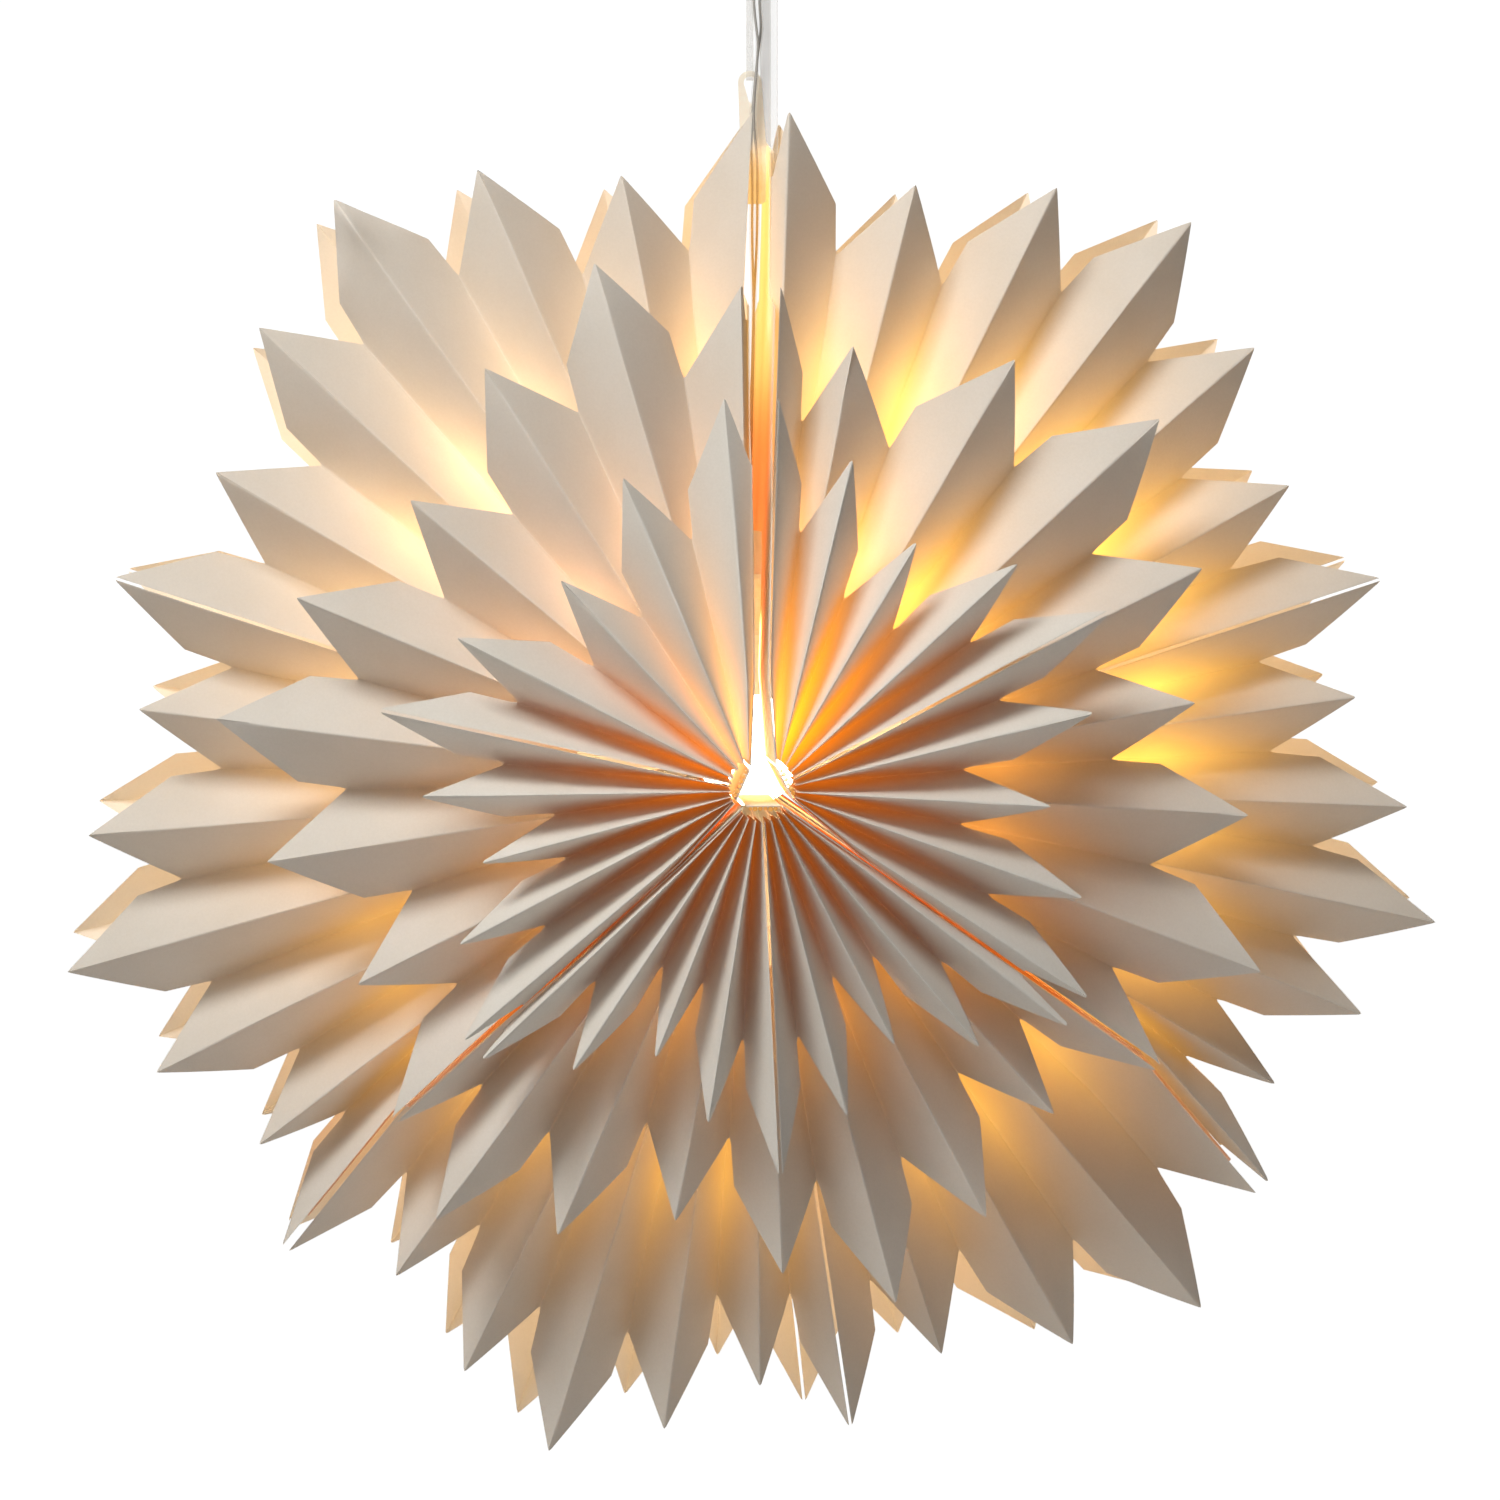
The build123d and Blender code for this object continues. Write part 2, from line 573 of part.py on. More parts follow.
def make_filament():
    """Thick and thin stem on the axis, and four upright rods on radial feet."""
    whole = Pos(LAMP_X, 0, 31.0) * Cylinder(2.2, 14.0)
    whole = whole + Pos(LAMP_X, 0, 21.0) * Cylinder(0.8, 8.0)
    rod_ring_r = 6.0
    for k in range(4):
        turn = 45 + 90 * k
        x = rod_ring_r * math.cos(math.radians(turn))
        y = rod_ring_r * math.sin(math.radians(turn))
        rod = Pos(LAMP_X + x, y, 8.0) * Cylinder(0.8, 24.0)
        foot = Pos(LAMP_X + x / 2, y / 2, 19.0) * Rot(0, 0, turn) * Box(6.4, 0.8, 0.8)
        whole = whole + rod + foot
    return whole


# ---------------------------------------------------------------- write
def save(shape, name):
    bodies = shape.moved(Location(tuple(-value for value in HANG_AT))).solids()
    shape = bodies[0] if len(bodies) == 1 else Compound(list(bodies))
    export_step(shape, "parts/" + name + ".step")


os.makedirs("parts", exist_ok=True)

for leaf_name in LEAVES:
    save(make_leaf(leaf_name), leaf_name + "_cover_leaf")
for book in SPINES:
    save(make_spine(book), book + "_spine")
    save(make_glue(book), book + "_glue_beads")
for tier_name, books in SHEETS.items():
    for book, sheets in books.items():
        for index in range(len(sheets)):
            label = "" if len(sheets) == 1 else "_" + "ab"[index]
            for side in ("front", "back"):
                save(make_sheet(tier_name, book, index, side),
                     f"{tier_name}_{side}_sheet_{book}{label}")

save(make_tab(), "hanging_tab")
save(make_ribbon(), "ribbon_loop")
save(make_strand(), "ribbon_strand")
save(make_jacket(), "cable_jacket")
save(make_core(-1), "cable_core_front")
save(make_core(1), "cable_core_back")
for name, profile in LAMP_PROFILES.items():
    save(revolve_lamp(profile), name)
save(make_centre_contact(), "lampholder_centre_contact")
save(make_cord_grip(), "cord_grip")
save(make_glass(), "bulb_glass")
save(make_filament(), "bulb_filament")
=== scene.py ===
"""A lit paper star made of three pleated books, hung by a clear ribbon loop.

The frame's origin is where the loop hangs, with the star below it. X runs right, Z up, and the
star's front faces -Y. Three tiers of pleated sheets stand on each face, between the cover leaves
of the left, bottom and right books. Layout is in millimetres from the middle of the star, in plan
(x, z) with depth y. Azimuths are degrees clockwise from straight up, seen from the front.
"""
import json
import math
import random
from collections import namedtuple

import bmesh
import bpy
import numpy as np
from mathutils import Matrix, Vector

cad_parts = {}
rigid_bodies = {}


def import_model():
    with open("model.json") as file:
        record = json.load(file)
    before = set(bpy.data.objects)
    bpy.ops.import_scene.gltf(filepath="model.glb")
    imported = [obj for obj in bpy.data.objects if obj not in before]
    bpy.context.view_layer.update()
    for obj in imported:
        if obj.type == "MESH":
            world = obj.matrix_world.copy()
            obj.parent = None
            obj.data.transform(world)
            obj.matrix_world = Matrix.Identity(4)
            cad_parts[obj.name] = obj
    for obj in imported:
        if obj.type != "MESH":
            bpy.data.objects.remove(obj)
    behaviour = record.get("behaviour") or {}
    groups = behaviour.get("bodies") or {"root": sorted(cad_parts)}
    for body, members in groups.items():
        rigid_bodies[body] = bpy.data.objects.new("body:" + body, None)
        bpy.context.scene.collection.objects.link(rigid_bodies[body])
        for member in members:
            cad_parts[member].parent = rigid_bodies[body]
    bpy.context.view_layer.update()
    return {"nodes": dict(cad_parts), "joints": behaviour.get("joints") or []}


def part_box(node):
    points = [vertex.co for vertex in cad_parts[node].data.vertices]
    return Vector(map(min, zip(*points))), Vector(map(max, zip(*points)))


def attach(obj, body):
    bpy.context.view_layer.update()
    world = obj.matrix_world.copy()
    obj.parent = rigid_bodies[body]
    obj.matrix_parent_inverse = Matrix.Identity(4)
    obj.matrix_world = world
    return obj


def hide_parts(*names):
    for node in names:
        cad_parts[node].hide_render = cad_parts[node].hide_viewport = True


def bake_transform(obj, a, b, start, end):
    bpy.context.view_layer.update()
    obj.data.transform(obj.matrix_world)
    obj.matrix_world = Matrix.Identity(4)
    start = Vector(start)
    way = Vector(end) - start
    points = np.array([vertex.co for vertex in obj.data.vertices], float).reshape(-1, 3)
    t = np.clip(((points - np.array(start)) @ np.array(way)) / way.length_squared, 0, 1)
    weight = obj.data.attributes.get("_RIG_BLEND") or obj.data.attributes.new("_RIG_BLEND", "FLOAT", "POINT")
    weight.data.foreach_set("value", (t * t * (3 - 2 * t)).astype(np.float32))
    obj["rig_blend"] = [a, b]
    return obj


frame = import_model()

nodes = frame["nodes"]
scene = bpy.context.scene

MM = 0.001
HANG = np.array([1.35, 0.0, 395.75])    # the origin seen from the middle of the star, mm
STAR = -HANG * MM                       # the middle of the star in the frame, m

# ------------------------------------------------------------------ star layout, mm
# Tiers: 1 inner, 2 middle, 3 outer. Ridges are long, medium or short (L, M, S).
TIER_NAMES = {1: "inner", 2: "middle", 3: "outer"}
PAPER_THICKNESS = 0.35
MAX_THICKNESS = 11.0                    # limit on the sheet's depth where pleats are steep
SPINE_WIDTH = 15.3
TIP_CUT = {1: 32.5, 2: 33.1, 3: 33.9}   # radial length of the slanted cut at a tip
TIP_RADIUS = {1: {"L": 159.8, "M": 139.6, "S": 118.9},
              2: {"L": 227.1, "M": 207.0, "S": 186.7},
              3: {"L": 302.9, "M": 283.1, "S": 261.8}}
INNER_RADIUS = {1: 13.5, 2: 77.0, 3: 135.0}
STRIP_WIDTH = {1: 31.0, 2: 36.0, 3: 36.0}       # paper from a ridge to its valley
RIDGE_Y = {1: (-134.0, 0.082), 2: (-101.5, 0.077), 3: (-73.7, 0.131)}   # y at the axis, slope
END_DEPTH = {1: 6.0, 2: 8.0, 3: 10.0}   # depth of the part panel beside a cover leaf
SEAM_GAP = 0.62                         # shift of a sheet's edge from the seam between sheets
LEAF_GAP = 0.45                         # from a leaf's middle surface to the sheet beside it
LEAF_START_RADIUS = 14.0                # where an end ridge starts to swing off its leaf
END_PANEL_GAP = 2.4                     # an end ridge further off its leaf gets an end panel
MIN_SPACING = 0.8                       # least distance taken between two creases

# book: (middle of its spine, azimuth the spine runs along)
SPINES = {"left": ((-8.6, 2.0), 204.0), "bottom": ((-0.4, -6.6), 90.0),
          "right": ((8.6, 2.6), 152.7)}

# leaf: (book, end of the spine, side its book lies on: 1 clockwise,
#        bends as (radius, azimuth))
LEAVES = {
    "right_upper": ("right", -1, 1, ((46.0, 2.9), (205.0, 2.1), (290.0, 1.8))),
    "right_lower": ("right", 1, -1, ((46.0, 124.75), (205.0, 125.42), (290.0, 129.55))),
    "bottom_right": ("bottom", 1, 1, ((46.0, 126.25), (205.0, 125.58), (290.0, 129.67))),
    "bottom_left": ("bottom", -1, -1, ((46.0, 226.95), (205.0, 227.17), (290.0, 224.69))),
    "left_lower": ("left", 1, 1, ((46.0, 228.45), (205.0, 227.33), (290.0, 224.81))),
    "left_upper": ("left", -1, -1, ((46.0, 355.6), (205.0, 359.0), (290.0, 0.25))),
}
# the leaves at the low and high azimuth ends of each book
BOOK_LEAVES = {"right": ("right_upper", "right_lower"),
               "bottom": ("bottom_right", "bottom_left"),
               "left": ("left_lower", "left_upper")}
# bodies along each book: its clockwise end, its spine, its other end
BOOK_BODIES = {"left": ("left_end", "left_spine_body", "lower_left_seam"),
               "bottom": ("lower_left_seam", "bottom_spine_body", "lower_right_seam"),
               "right": ("lower_right_seam", "right_spine_body", "right_end")}
BOOK_SEEDS = {"left": 1, "bottom": 2, "right": 3}
# the back face's ridges sit a little round from the front's: (degrees, half waves)
BACK_SHIFT = {"right": (-1.7, 1.0), "bottom": (3.2, 1.0), "left": (2.2, 2.0)}

# tier, book: one list per sheet of its ridges, as (azimuth, length)
SHEETS = {
    1: {"right": [[(2.2, "L"), (15.1, "M"), (31.6, "S"), (48.6, "M"), (63.2, "L")],
                  [(63.2, "L"), (77.2, "M"), (93.7, "S"), (109.1, "M"), (122.8, "L")]],
        "bottom": [[(128.0, "L"), (140.1, "M"), (152.8, "S"), (165.5, "M"), (177.3, "L")],
                   [(177.3, "L"), (189.2, "M"), (201.6, "S"), (213.9, "M"), (225.9, "L")]],
        "left": [[(230.0, "L"), (242.8, "M"), (255.3, "S"), (268.8, "M"), (281.7, "L")],
                 [(281.7, "L"), (296.5, "M"), (316.2, "S"), (336.0, "M"), (354.4, "L")]]},
    2: {"right": [[(2.6, "M"), (12.1, "S"), (31.2, "M"), (47.9, "L"), (64.3, "M"),
                   (79.7, "S"), (93.9, "M"), (110.7, "L"), (125.1, "M")]],
        "bottom": [[(125.9, "M"), (138.2, "S"), (152.3, "M"), (165.1, "L"), (177.0, "M"),
                    (190.6, "S"), (203.9, "M"), (216.4, "L"), (226.9, "M")]],
        "left": [[(227.6, "M"), (243.3, "S"), (261.1, "M"), (276.9, "L"), (292.1, "M"),
                  (309.4, "S"), (326.8, "M"), (342.6, "L"), (358.1, "M")]]},
    3: {"right": [[(3.3, "M"), (15.4, "S"), (27.4, "M"), (38.5, "L"), (49.6, "M"),
                   (61.6, "S"), (72.7, "M")],
                  [(72.7, "M"), (82.6, "S"), (92.8, "M"), (102.2, "L"), (111.4, "M"),
                   (120.6, "S"), (128.1, "M")]],
        "bottom": [[(129.6, "M"), (139.8, "L"), (150.5, "M"), (161.8, "S"), (171.3, "M")],
                   [(171.3, "M"), (179.2, "S"), (187.6, "M"), (196.7, "L"), (205.8, "M"),
                    (215.5, "S"), (224.4, "M")]],
        "left": [[(225.1, "M"), (233.3, "S"), (243.7, "M"), (254.2, "L"), (265.1, "M"),
                  (276.5, "S"), (287.5, "M")],
                 [(287.5, "M"), (299.8, "S"), (312.5, "M"), (324.2, "L"), (335.8, "M"),
                  (347.9, "S"), (360.1, "M")]]},
}

# kind is ridge, valley or end; plan turns radii into plan points; outer is its outer radius
Crease = namedtuple("Crease", "kind plan outer azimuth")


def polar(radius, azimuth):
    angle = np.radians(azimuth)
    return np.stack([radius * np.sin(angle), radius * np.cos(angle)], -1)


def length(vectors):
    return np.hypot(vectors[..., 0], vectors[..., 1])


def clockwise_normal(start, end):
    """Unit vector a quarter turn clockwise from the direction start to end."""
    along = (end - start) / length(end - start)
    return np.array([along[1], -along[0]])


def fold_point(leaf):
    """Where a leaf folds off its spine."""
    book, end, _, _ = LEAVES[leaf]
    middle, azimuth = SPINES[book]
    return np.array(middle) + end * polar(SPINE_WIDTH / 2, azimuth)


def leaf_plan(leaf, radius, offset):
    """Points of a leaf's middle surface at the radii, moved into its book by offset."""
    _, _, side, bends = LEAVES[leaf]
    radius = np.atleast_1d(np.asarray(radius, float))
    offset = np.broadcast_to(np.asarray(offset, float), radius.shape)
    points = [fold_point(leaf)] + [polar(*bend) for bend in bends]
    plan = np.zeros((len(radius), 2))
    segment = sum((radius > bend).astype(int) for bend, _ in bends[:-1])
    for i, (start, end) in enumerate(zip(points, points[1:])):
        here = segment == i
        start_radius, end_radius = length(start), length(end)
        part = (radius[here] - start_radius) / (end_radius - start_radius)
        plan[here] = (start + (end - start) * part[:, None]
                      + clockwise_normal(start, end) * side * offset[here][:, None])
    return plan


def along_leaf(leaf, azimuth, tip_radius):
    """An end ridge that swings off its leaf to reach its azimuth: (gap at the tip, plan)."""
    miss = leaf_plan(leaf, tip_radius, 0.0)[0] - polar(tip_radius, azimuth)
    far = max(float(length(miss)), LEAF_GAP)
    near = LEAF_GAP + (0.4 if far > END_PANEL_GAP else 0.0)

    def plan(radius):
        beyond = np.maximum(0.0, np.atleast_1d(radius) - LEAF_START_RADIUS)
        swing = beyond / (tip_radius - LEAF_START_RADIUS)
        return leaf_plan(leaf, radius, near + (far - near) * swing)
    return far, plan


def end_crease(leaf, gap, tip_radius, azimuth):
    """Outer edge of the part panel between an end ridge and its leaf."""
    return Crease("end", lambda radius: leaf_plan(leaf, radius, LEAF_GAP),
                  tip_radius - min(27.0, gap * 4.0), azimuth)


def shifted(plan, side):
    """A crease moved sideways off the seam; side 1 is clockwise."""
    move = clockwise_normal(plan(50.0)[0], plan(150.0)[0]) * side * SEAM_GAP
    return lambda radius: plan(radius) + move


def crease_sheets(tier, book, front):
    """Every crease of one book's pleats in one tier, as a list of creases for each sheet."""
    leaf_low, leaf_high = BOOK_LEAVES[book]
    fold_low, fold_high = fold_point(leaf_low), fold_point(leaf_high)
    sheets = SHEETS[tier][book]
    low, high = sheets[0][0][0], sheets[-1][-1][0]
    amount, waves = (0.0, 1.0) if front else BACK_SHIFT[book]
    radii = TIP_RADIUS[tier]

    def ray(azimuth):
        """Straight crease from between the folds out to its azimuth."""
        start = fold_low + (fold_high - fold_low) * (azimuth - low) / (high - low)
        end, start_radius = polar(radii["L"], azimuth), length(start)

        def plan(radius):
            part = (np.atleast_1d(radius) - start_radius) / (radii["L"] - start_radius)
            return start + (end - start) * part[:, None]
        return plan

    made = []
    for n, ridges in enumerate(sheets):
        creases = []
        for i, (azimuth, size) in enumerate(ridges):
            azimuth += amount * math.sin(waves * math.pi * (azimuth - low) / (high - low))
            tip_radius = radii[size]
            at_start, at_end = i == 0, i == len(ridges) - 1
            book_end = at_end and n == len(sheets) - 1
            if at_start and n == 0:
                gap, plan = along_leaf(leaf_low, azimuth, tip_radius)
                if gap > END_PANEL_GAP:
                    creases.append(end_crease(leaf_low, gap, tip_radius, azimuth))
            elif book_end:
                gap, plan = along_leaf(leaf_high, azimuth, tip_radius)
            elif at_start:
                plan = shifted(ray(azimuth), 1)
            elif at_end:
                plan = shifted(ray(azimuth), -1)
            else:
                plan = ray(azimuth)
            if not at_start:
                before = creases[-1]
                notch = min(before.outer, tip_radius) - TIP_CUT[tier]
                creases.append(Crease(
                    "valley", lambda radius, a=before.plan, b=plan: (a(radius) + b(radius)) / 2,
                    notch, (azimuth + before.azimuth) / 2))
            creases.append(Crease("ridge", plan, tip_radius, azimuth))
            if book_end and gap > END_PANEL_GAP:
                creases.append(end_crease(leaf_high, gap, tip_radius, azimuth))
        made.append(creases)
    return made


# ------------------------------------------------------------------ glow and shade painted on the paper
# Lamp light soaking through the front of each tier. A lobe is (strength, azimuth, width).
# fade: radius where it starts to fade and the fading length. ridge: part left on a ridge.
# power: how it gathers in the valleys. pale: azimuth and width of the paler side.
# green, blue: share of red, and what the paler side adds to it.
GLOW = {
    1: {"base": 0.16, "fade": (26.0, 40.0), "ridge": 0.0, "power": 0.9, "pale": (338, 24),
        "lobes": ((1.35, 22, 30), (0.55, 338, 26), (0.24, 290, 34), (0.14, 90, 40)),
        "green": (0.23, 0.26), "blue": (0.01, 0.17), "green_lobe": (0.10, 22, 34)},
    2: {"base": 0.18, "fade": (104.0, 25.0), "ridge": 0.24, "power": 1.2, "pale": (326, 40),
        "lobes": ((1.05, 32, 34), (0.42, 326, 34), (0.24, 100, 34), (0.12, 180, 60)),
        "green": (0.44, 0.18), "blue": (0.07, 0.30), "green_lobe": (0.08, 36, 30)},
    3: {"base": 0.30, "fade": (178.0, 30.0), "ridge": 0.34, "power": 1.2, "pale": (322, 46),
        "lobes": ((1.00, 56, 46), (0.42, 322, 40), (0.22, 128, 34), (0.12, 180, 60)),
        "green": (0.52, 0.17), "blue": (0.10, 0.30)},
}
OUTER_GREEN_GAIN = 0.10     # the outer tier turns greener where it glows more
BACK_GLOW = {1: 0.10, 2: 0.16, 3: 0.26}
BACK_GLOW_COLOUR = (1.0, 0.72, 0.40)
# radius where the painted shade starts to fade, and the fading length
PAINTED_SHADE_FADE = {1: (16.0, 46.0), 2: (98.0, 36.0), 3: (172.0, 32.0)}    # as fade above


def lobe(azimuth, centre, width):
    apart = (azimuth - centre + 180) % 360 - 180
    return np.exp(-(apart / width) ** 2)


def fade(radius, start, run):
    return np.exp(-np.maximum(0.0, radius - start) / run)


def glow_colour(tier, front, radius, azimuth, share):
    """Colour of the soaked-through light; share runs 0 on the ridge to 1 in the valley."""
    if not front:
        glow = BACK_GLOW[tier] * (0.5 + 0.5 * share)
        return np.stack([glow * channel for channel in BACK_GLOW_COLOUR], -1)
    look = GLOW[tier]
    strength = look["base"] + sum(gain * lobe(azimuth, *place) for gain, *place in look["lobes"])
    across = look["ridge"] + (1 - look["ridge"]) * share ** look["power"]
    glow = strength * fade(radius, *look["fade"]) * across
    pale = lobe(azimuth, *look["pale"])
    green, blue = (base + gain * pale for base, gain in (look["green"], look["blue"]))
    if tier == 3:
        green = green + OUTER_GREEN_GAIN * np.clip(glow, 0, 1)
    else:
        gain, *place = look["green_lobe"]
        green = green + gain * lobe(azimuth, *place)
    return np.stack([glow, glow * green, glow * blue], -1)


def painted_shade(tier, radius, azimuth, share):
    """Painted brown-orange shade, 0 to 1: strongest near the middle and down narrow creases, where bounced
    light turns brown-orange; weaker on the upper left of the inner tier, stronger on the lower right of the
    others.
    """
    near = fade(radius, *PAINTED_SHADE_FADE[tier])
    if tier == 1:
        return np.clip(0.64 * near * share ** 1.1 * (1 - 0.30 * lobe(azimuth, 322, 40)), 0, 1)
    return np.clip(near * (0.45 + 0.55 * share) * (0.24 + 0.36 * lobe(azimuth, 125, 60)), 0, 1)


# ------------------------------------------------------------------ pleated panels
# places of the columns between a panel's rounded creases, and of the rows along it
FLAT_COLUMNS = (0.0, 0.07, 0.25, 0.45, 0.65, 0.80, 0.885, 1.0)
ROWS = np.array([0, .02, .05, .09, .14, .20, .27, .34, .42, .50, .58, .66, .73, .80, .86, .91,
                 .95, .98, 1.0])
CREASE_HALF_WIDTH = 0.74    # mm
MAX_CREASE_SHARE = 0.36     # most of a panel one rounded crease may take
NOMINAL_CREASE_SHARE = 0.02
SHOULDER_COLUMN = 8         # column where a longer ridge's cut meets the shoulder

# points of one column from the inner edge out, with its mean azimuth
Column = namedtuple("Column", "plan y thickness radius share azimuth")


def column_shares(crease):
    """Ridge-to-valley share of each column when a crease takes this share of the panel."""
    between = [crease + (1 - 2 * crease) * place for place in FLAT_COLUMNS]
    return [0.0 * crease, 0.5 * crease, *between, 1 - 0.5 * crease, 0.0 * crease + 1.0]


def profile(share, crease):
    """Depth share across a panel: rounded at both creases, straight between."""
    slope = 1 / (1 - crease)
    middle = slope * crease / 2 + slope * (share - crease)
    ridge = slope * share ** 2 / (2 * crease)
    valley = 1 - slope * (1 - share) ** 2 / (2 * crease)
    return np.where(share < crease, ridge, np.where(share > 1 - crease, valley, middle))


def outer_edges(tier, ridge, valley):
    """Radius where each column of a panel meets the straight cuts at its outer end."""
    tip_radius, notch = ridge.outer, valley.outer
    shares = column_shares(NOMINAL_CREASE_SHARE)
    corner_radius, corner_share = notch, 1.0
    # a ridge longer than its neighbour has a shoulder between its tip and the notch
    if valley.kind == "valley" and tip_radius - TIP_CUT[tier] - notch > 2.0:
        corner_radius, corner_share = tip_radius - TIP_CUT[tier], shares[SHOULDER_COLUMN]
    tip, foot = ridge.plan(tip_radius)[0], valley.plan(notch)[0]
    corner = (ridge.plan(corner_radius) * (1 - corner_share)
              + valley.plan(corner_radius) * corner_share)[0]
    reach = np.linspace(notch - 4.0, tip_radius + 1.0, 48)
    ridge_reach, valley_reach = ridge.plan(reach), valley.plan(reach)

    def cut_radius(share, start, end):
        """Radius where the line at this share crosses the cut, or None if it misses."""
        at = ridge_reach + (valley_reach - ridge_reach) * share
        side = ((at[:, 0] - start[0]) * (end[1] - start[1])
                - (at[:, 1] - start[1]) * (end[0] - start[0]))
        hits = np.nonzero(side[:-1] * side[1:] <= 0)[0]
        if not len(hits):
            return None
        i = hits[-1]
        part = side[i] / (side[i] - side[i + 1] + 1e-12)
        return float(reach[i] + (reach[i + 1] - reach[i]) * part)

    edges = [tip_radius]
    for share in shares[1:-1]:
        if share <= corner_share:
            edge = (cut_radius(share, tip, corner)
                    or tip_radius - (tip_radius - corner_radius) * share / corner_share)
        else:
            past = (share - corner_share) / (1 - corner_share)
            edge = (cut_radius(share, corner, foot)
                    or corner_radius - (corner_radius - notch) * past)
        edges.append(min(max(edge, notch), tip_radius))
    return edges + [notch]


def panel_columns(tier, ridge, valley, depth_at, seed, kink):
    """Columns of one panel, from its ridge to its valley."""
    rng = random.Random(seed)
    start, tip_radius = INNER_RADIUS[tier], ridge.outer
    ridge_y, ridge_slope = RIDGE_Y[tier]
    bow = rng.uniform(-0.9, 0.5)
    ripple = rng.uniform(0.1, 0.4)
    phase = rng.uniform(0, 6.3)
    columns = []
    for k, edge in enumerate(outer_edges(tier, ridge, valley)):
        radius = start + (edge - start) * ROWS
        on_ridge, on_valley = ridge.plan(radius), valley.plan(radius)
        spacing = np.maximum(MIN_SPACING, length(on_valley - on_ridge))
        crease = np.minimum(MAX_CREASE_SHARE, CREASE_HALF_WIDTH / spacing)
        share = column_shares(crease)[k]
        plan = on_ridge + (on_valley - on_ridge) * share[:, None]
        y = ridge_y + ridge_slope * radius + depth_at(radius) * profile(share, crease)
        # paper is never quite flat: a slight bow across, a slow ripple along
        out = np.clip((radius - start) / (tip_radius - start), 0, 1)
        y = (y + bow * np.sin(np.pi * share) * out ** 1.5
             + ripple * np.sin(2.2 * np.pi * out + phase) * out * (1 - share))
        y = y + kink(radius, share, tip_radius)
        thickness = np.minimum(PAPER_THICKNESS * STRIP_WIDTH[tier] / spacing, MAX_THICKNESS)
        azimuth = ridge.azimuth + (valley.azimuth - ridge.azimuth) * float(np.mean(share))
        columns.append(Column(plan, y, thickness, radius, share, azimuth))
    return columns


def valley_depth(tier, before, valley, after):
    """Depth of a valley between its two ridges, from the width of the paper strip."""
    width = STRIP_WIDTH[tier]

    def depth(radius):
        spacing = sum(length(ridge.plan(radius) - valley.plan(radius))
                      for ridge in (before, after)) / 2
        spacing = np.maximum(MIN_SPACING, spacing)
        return np.sqrt(np.maximum(width ** 2 - spacing ** 2, (0.35 * width) ** 2))
    return depth


def tip_kink(tier, front, azimuth, seed):
    """Small hand-made fault at a tip: change in y from radius, share and tip radius."""
    lift = random.Random(seed).uniform(-1.6, 1.0)

    def near_tip(radius, tip, run):
        return np.clip((radius - tip + run) / run, 0, 1)

    def at(*ridges):
        return front and any(abs(azimuth - ridge) < 0.5 for ridge in ridges)

    if tier == 3 and at(324.2):
        return lambda r, share, tip: (-5.0 * np.exp(-((r - (tip - 12)) / 9.0) ** 2)
                                      * np.cos(share * 9.0) + 4.0 * near_tip(r, tip, 14))
    if tier == 3 and at(139.8, 150.5):
        return lambda r, share, tip: 4.5 * near_tip(r, tip, 26) ** 2
    if tier == 2 and at(342.6):
        return lambda r, share, tip: (2.4 * near_tip(r, tip, 18)
                                      * np.sin(3.0 * share + 0.6))
    return lambda r, share, tip: lift * near_tip(r, tip, 30) ** 2


# ------------------------------------------------------------------ sheet meshes
def split_runs(tier, book, front, sheets, split):
    """Runs of joined columns on the clockwise side of the split crease, and on the other."""
    halves = ([], [])
    book_seed = tier * 100000 + (0 if front else 50000) + BOOK_SEEDS[book] * 10000
    for n, creases in enumerate(sheets):
        runs = ([], [])
        for i, (first, second) in enumerate(zip(creases, creases[1:])):
            ridge, valley = (first, second) if first.kind == "ridge" else (second, first)
            seed = book_seed + n * 1000 + i * 10
            if valley.kind == "valley":
                j = i if valley is first else i + 1
                depth = valley_depth(tier, *creases[j - 1:j + 2])
            else:
                def depth(radius):
                    return np.full_like(radius, END_DEPTH[tier])
            kink = tip_kink(tier, front, ridge.azimuth, seed // 20)
            columns = panel_columns(tier, ridge, valley, depth, seed, kink)
            if first.kind != "ridge":
                columns.reverse()
            run = runs[0 if (first.azimuth + second.azimuth) / 2 >= split else 1]
            # a panel shares its first column with the panel before it
            run += columns[1:] if run else columns
        for half, run in zip(halves, runs):
            if run:
                half.append(run)
    return halves


def run_faces(base, columns):
    """Faces of one run: the outer and inner skins and the edges all round."""
    rows = len(ROWS)
    layer = columns * rows
    faces = []

    def at(column, row):
        return base + column * rows + row

    for c in range(columns - 1):
        for k in range(rows - 1):
            face = (at(c, k), at(c, k + 1), at(c + 1, k + 1), at(c + 1, k))
            faces.append(face)
            faces.append(tuple(v + layer for v in face[::-1]))
        for k, step in ((0, 1), (rows - 1, -1)):
            face = (at(c, k), at(c + 1, k), at(c + 1, k) + layer, at(c, k) + layer)
            faces.append(face[::step])
    for c, step in ((0, -1), (columns - 1, 1)):
        for k in range(rows - 1):
            face = (at(c, k), at(c, k + 1), at(c, k + 1) + layer, at(c, k) + layer)
            faces.append(face[::step])
    return faces


def shade_smooth(mesh, sharp_degrees):
    mesh.polygons.foreach_set("use_smooth", [True] * len(mesh.polygons))
    mesh.set_sharp_from_angle(angle=math.radians(sharp_degrees))


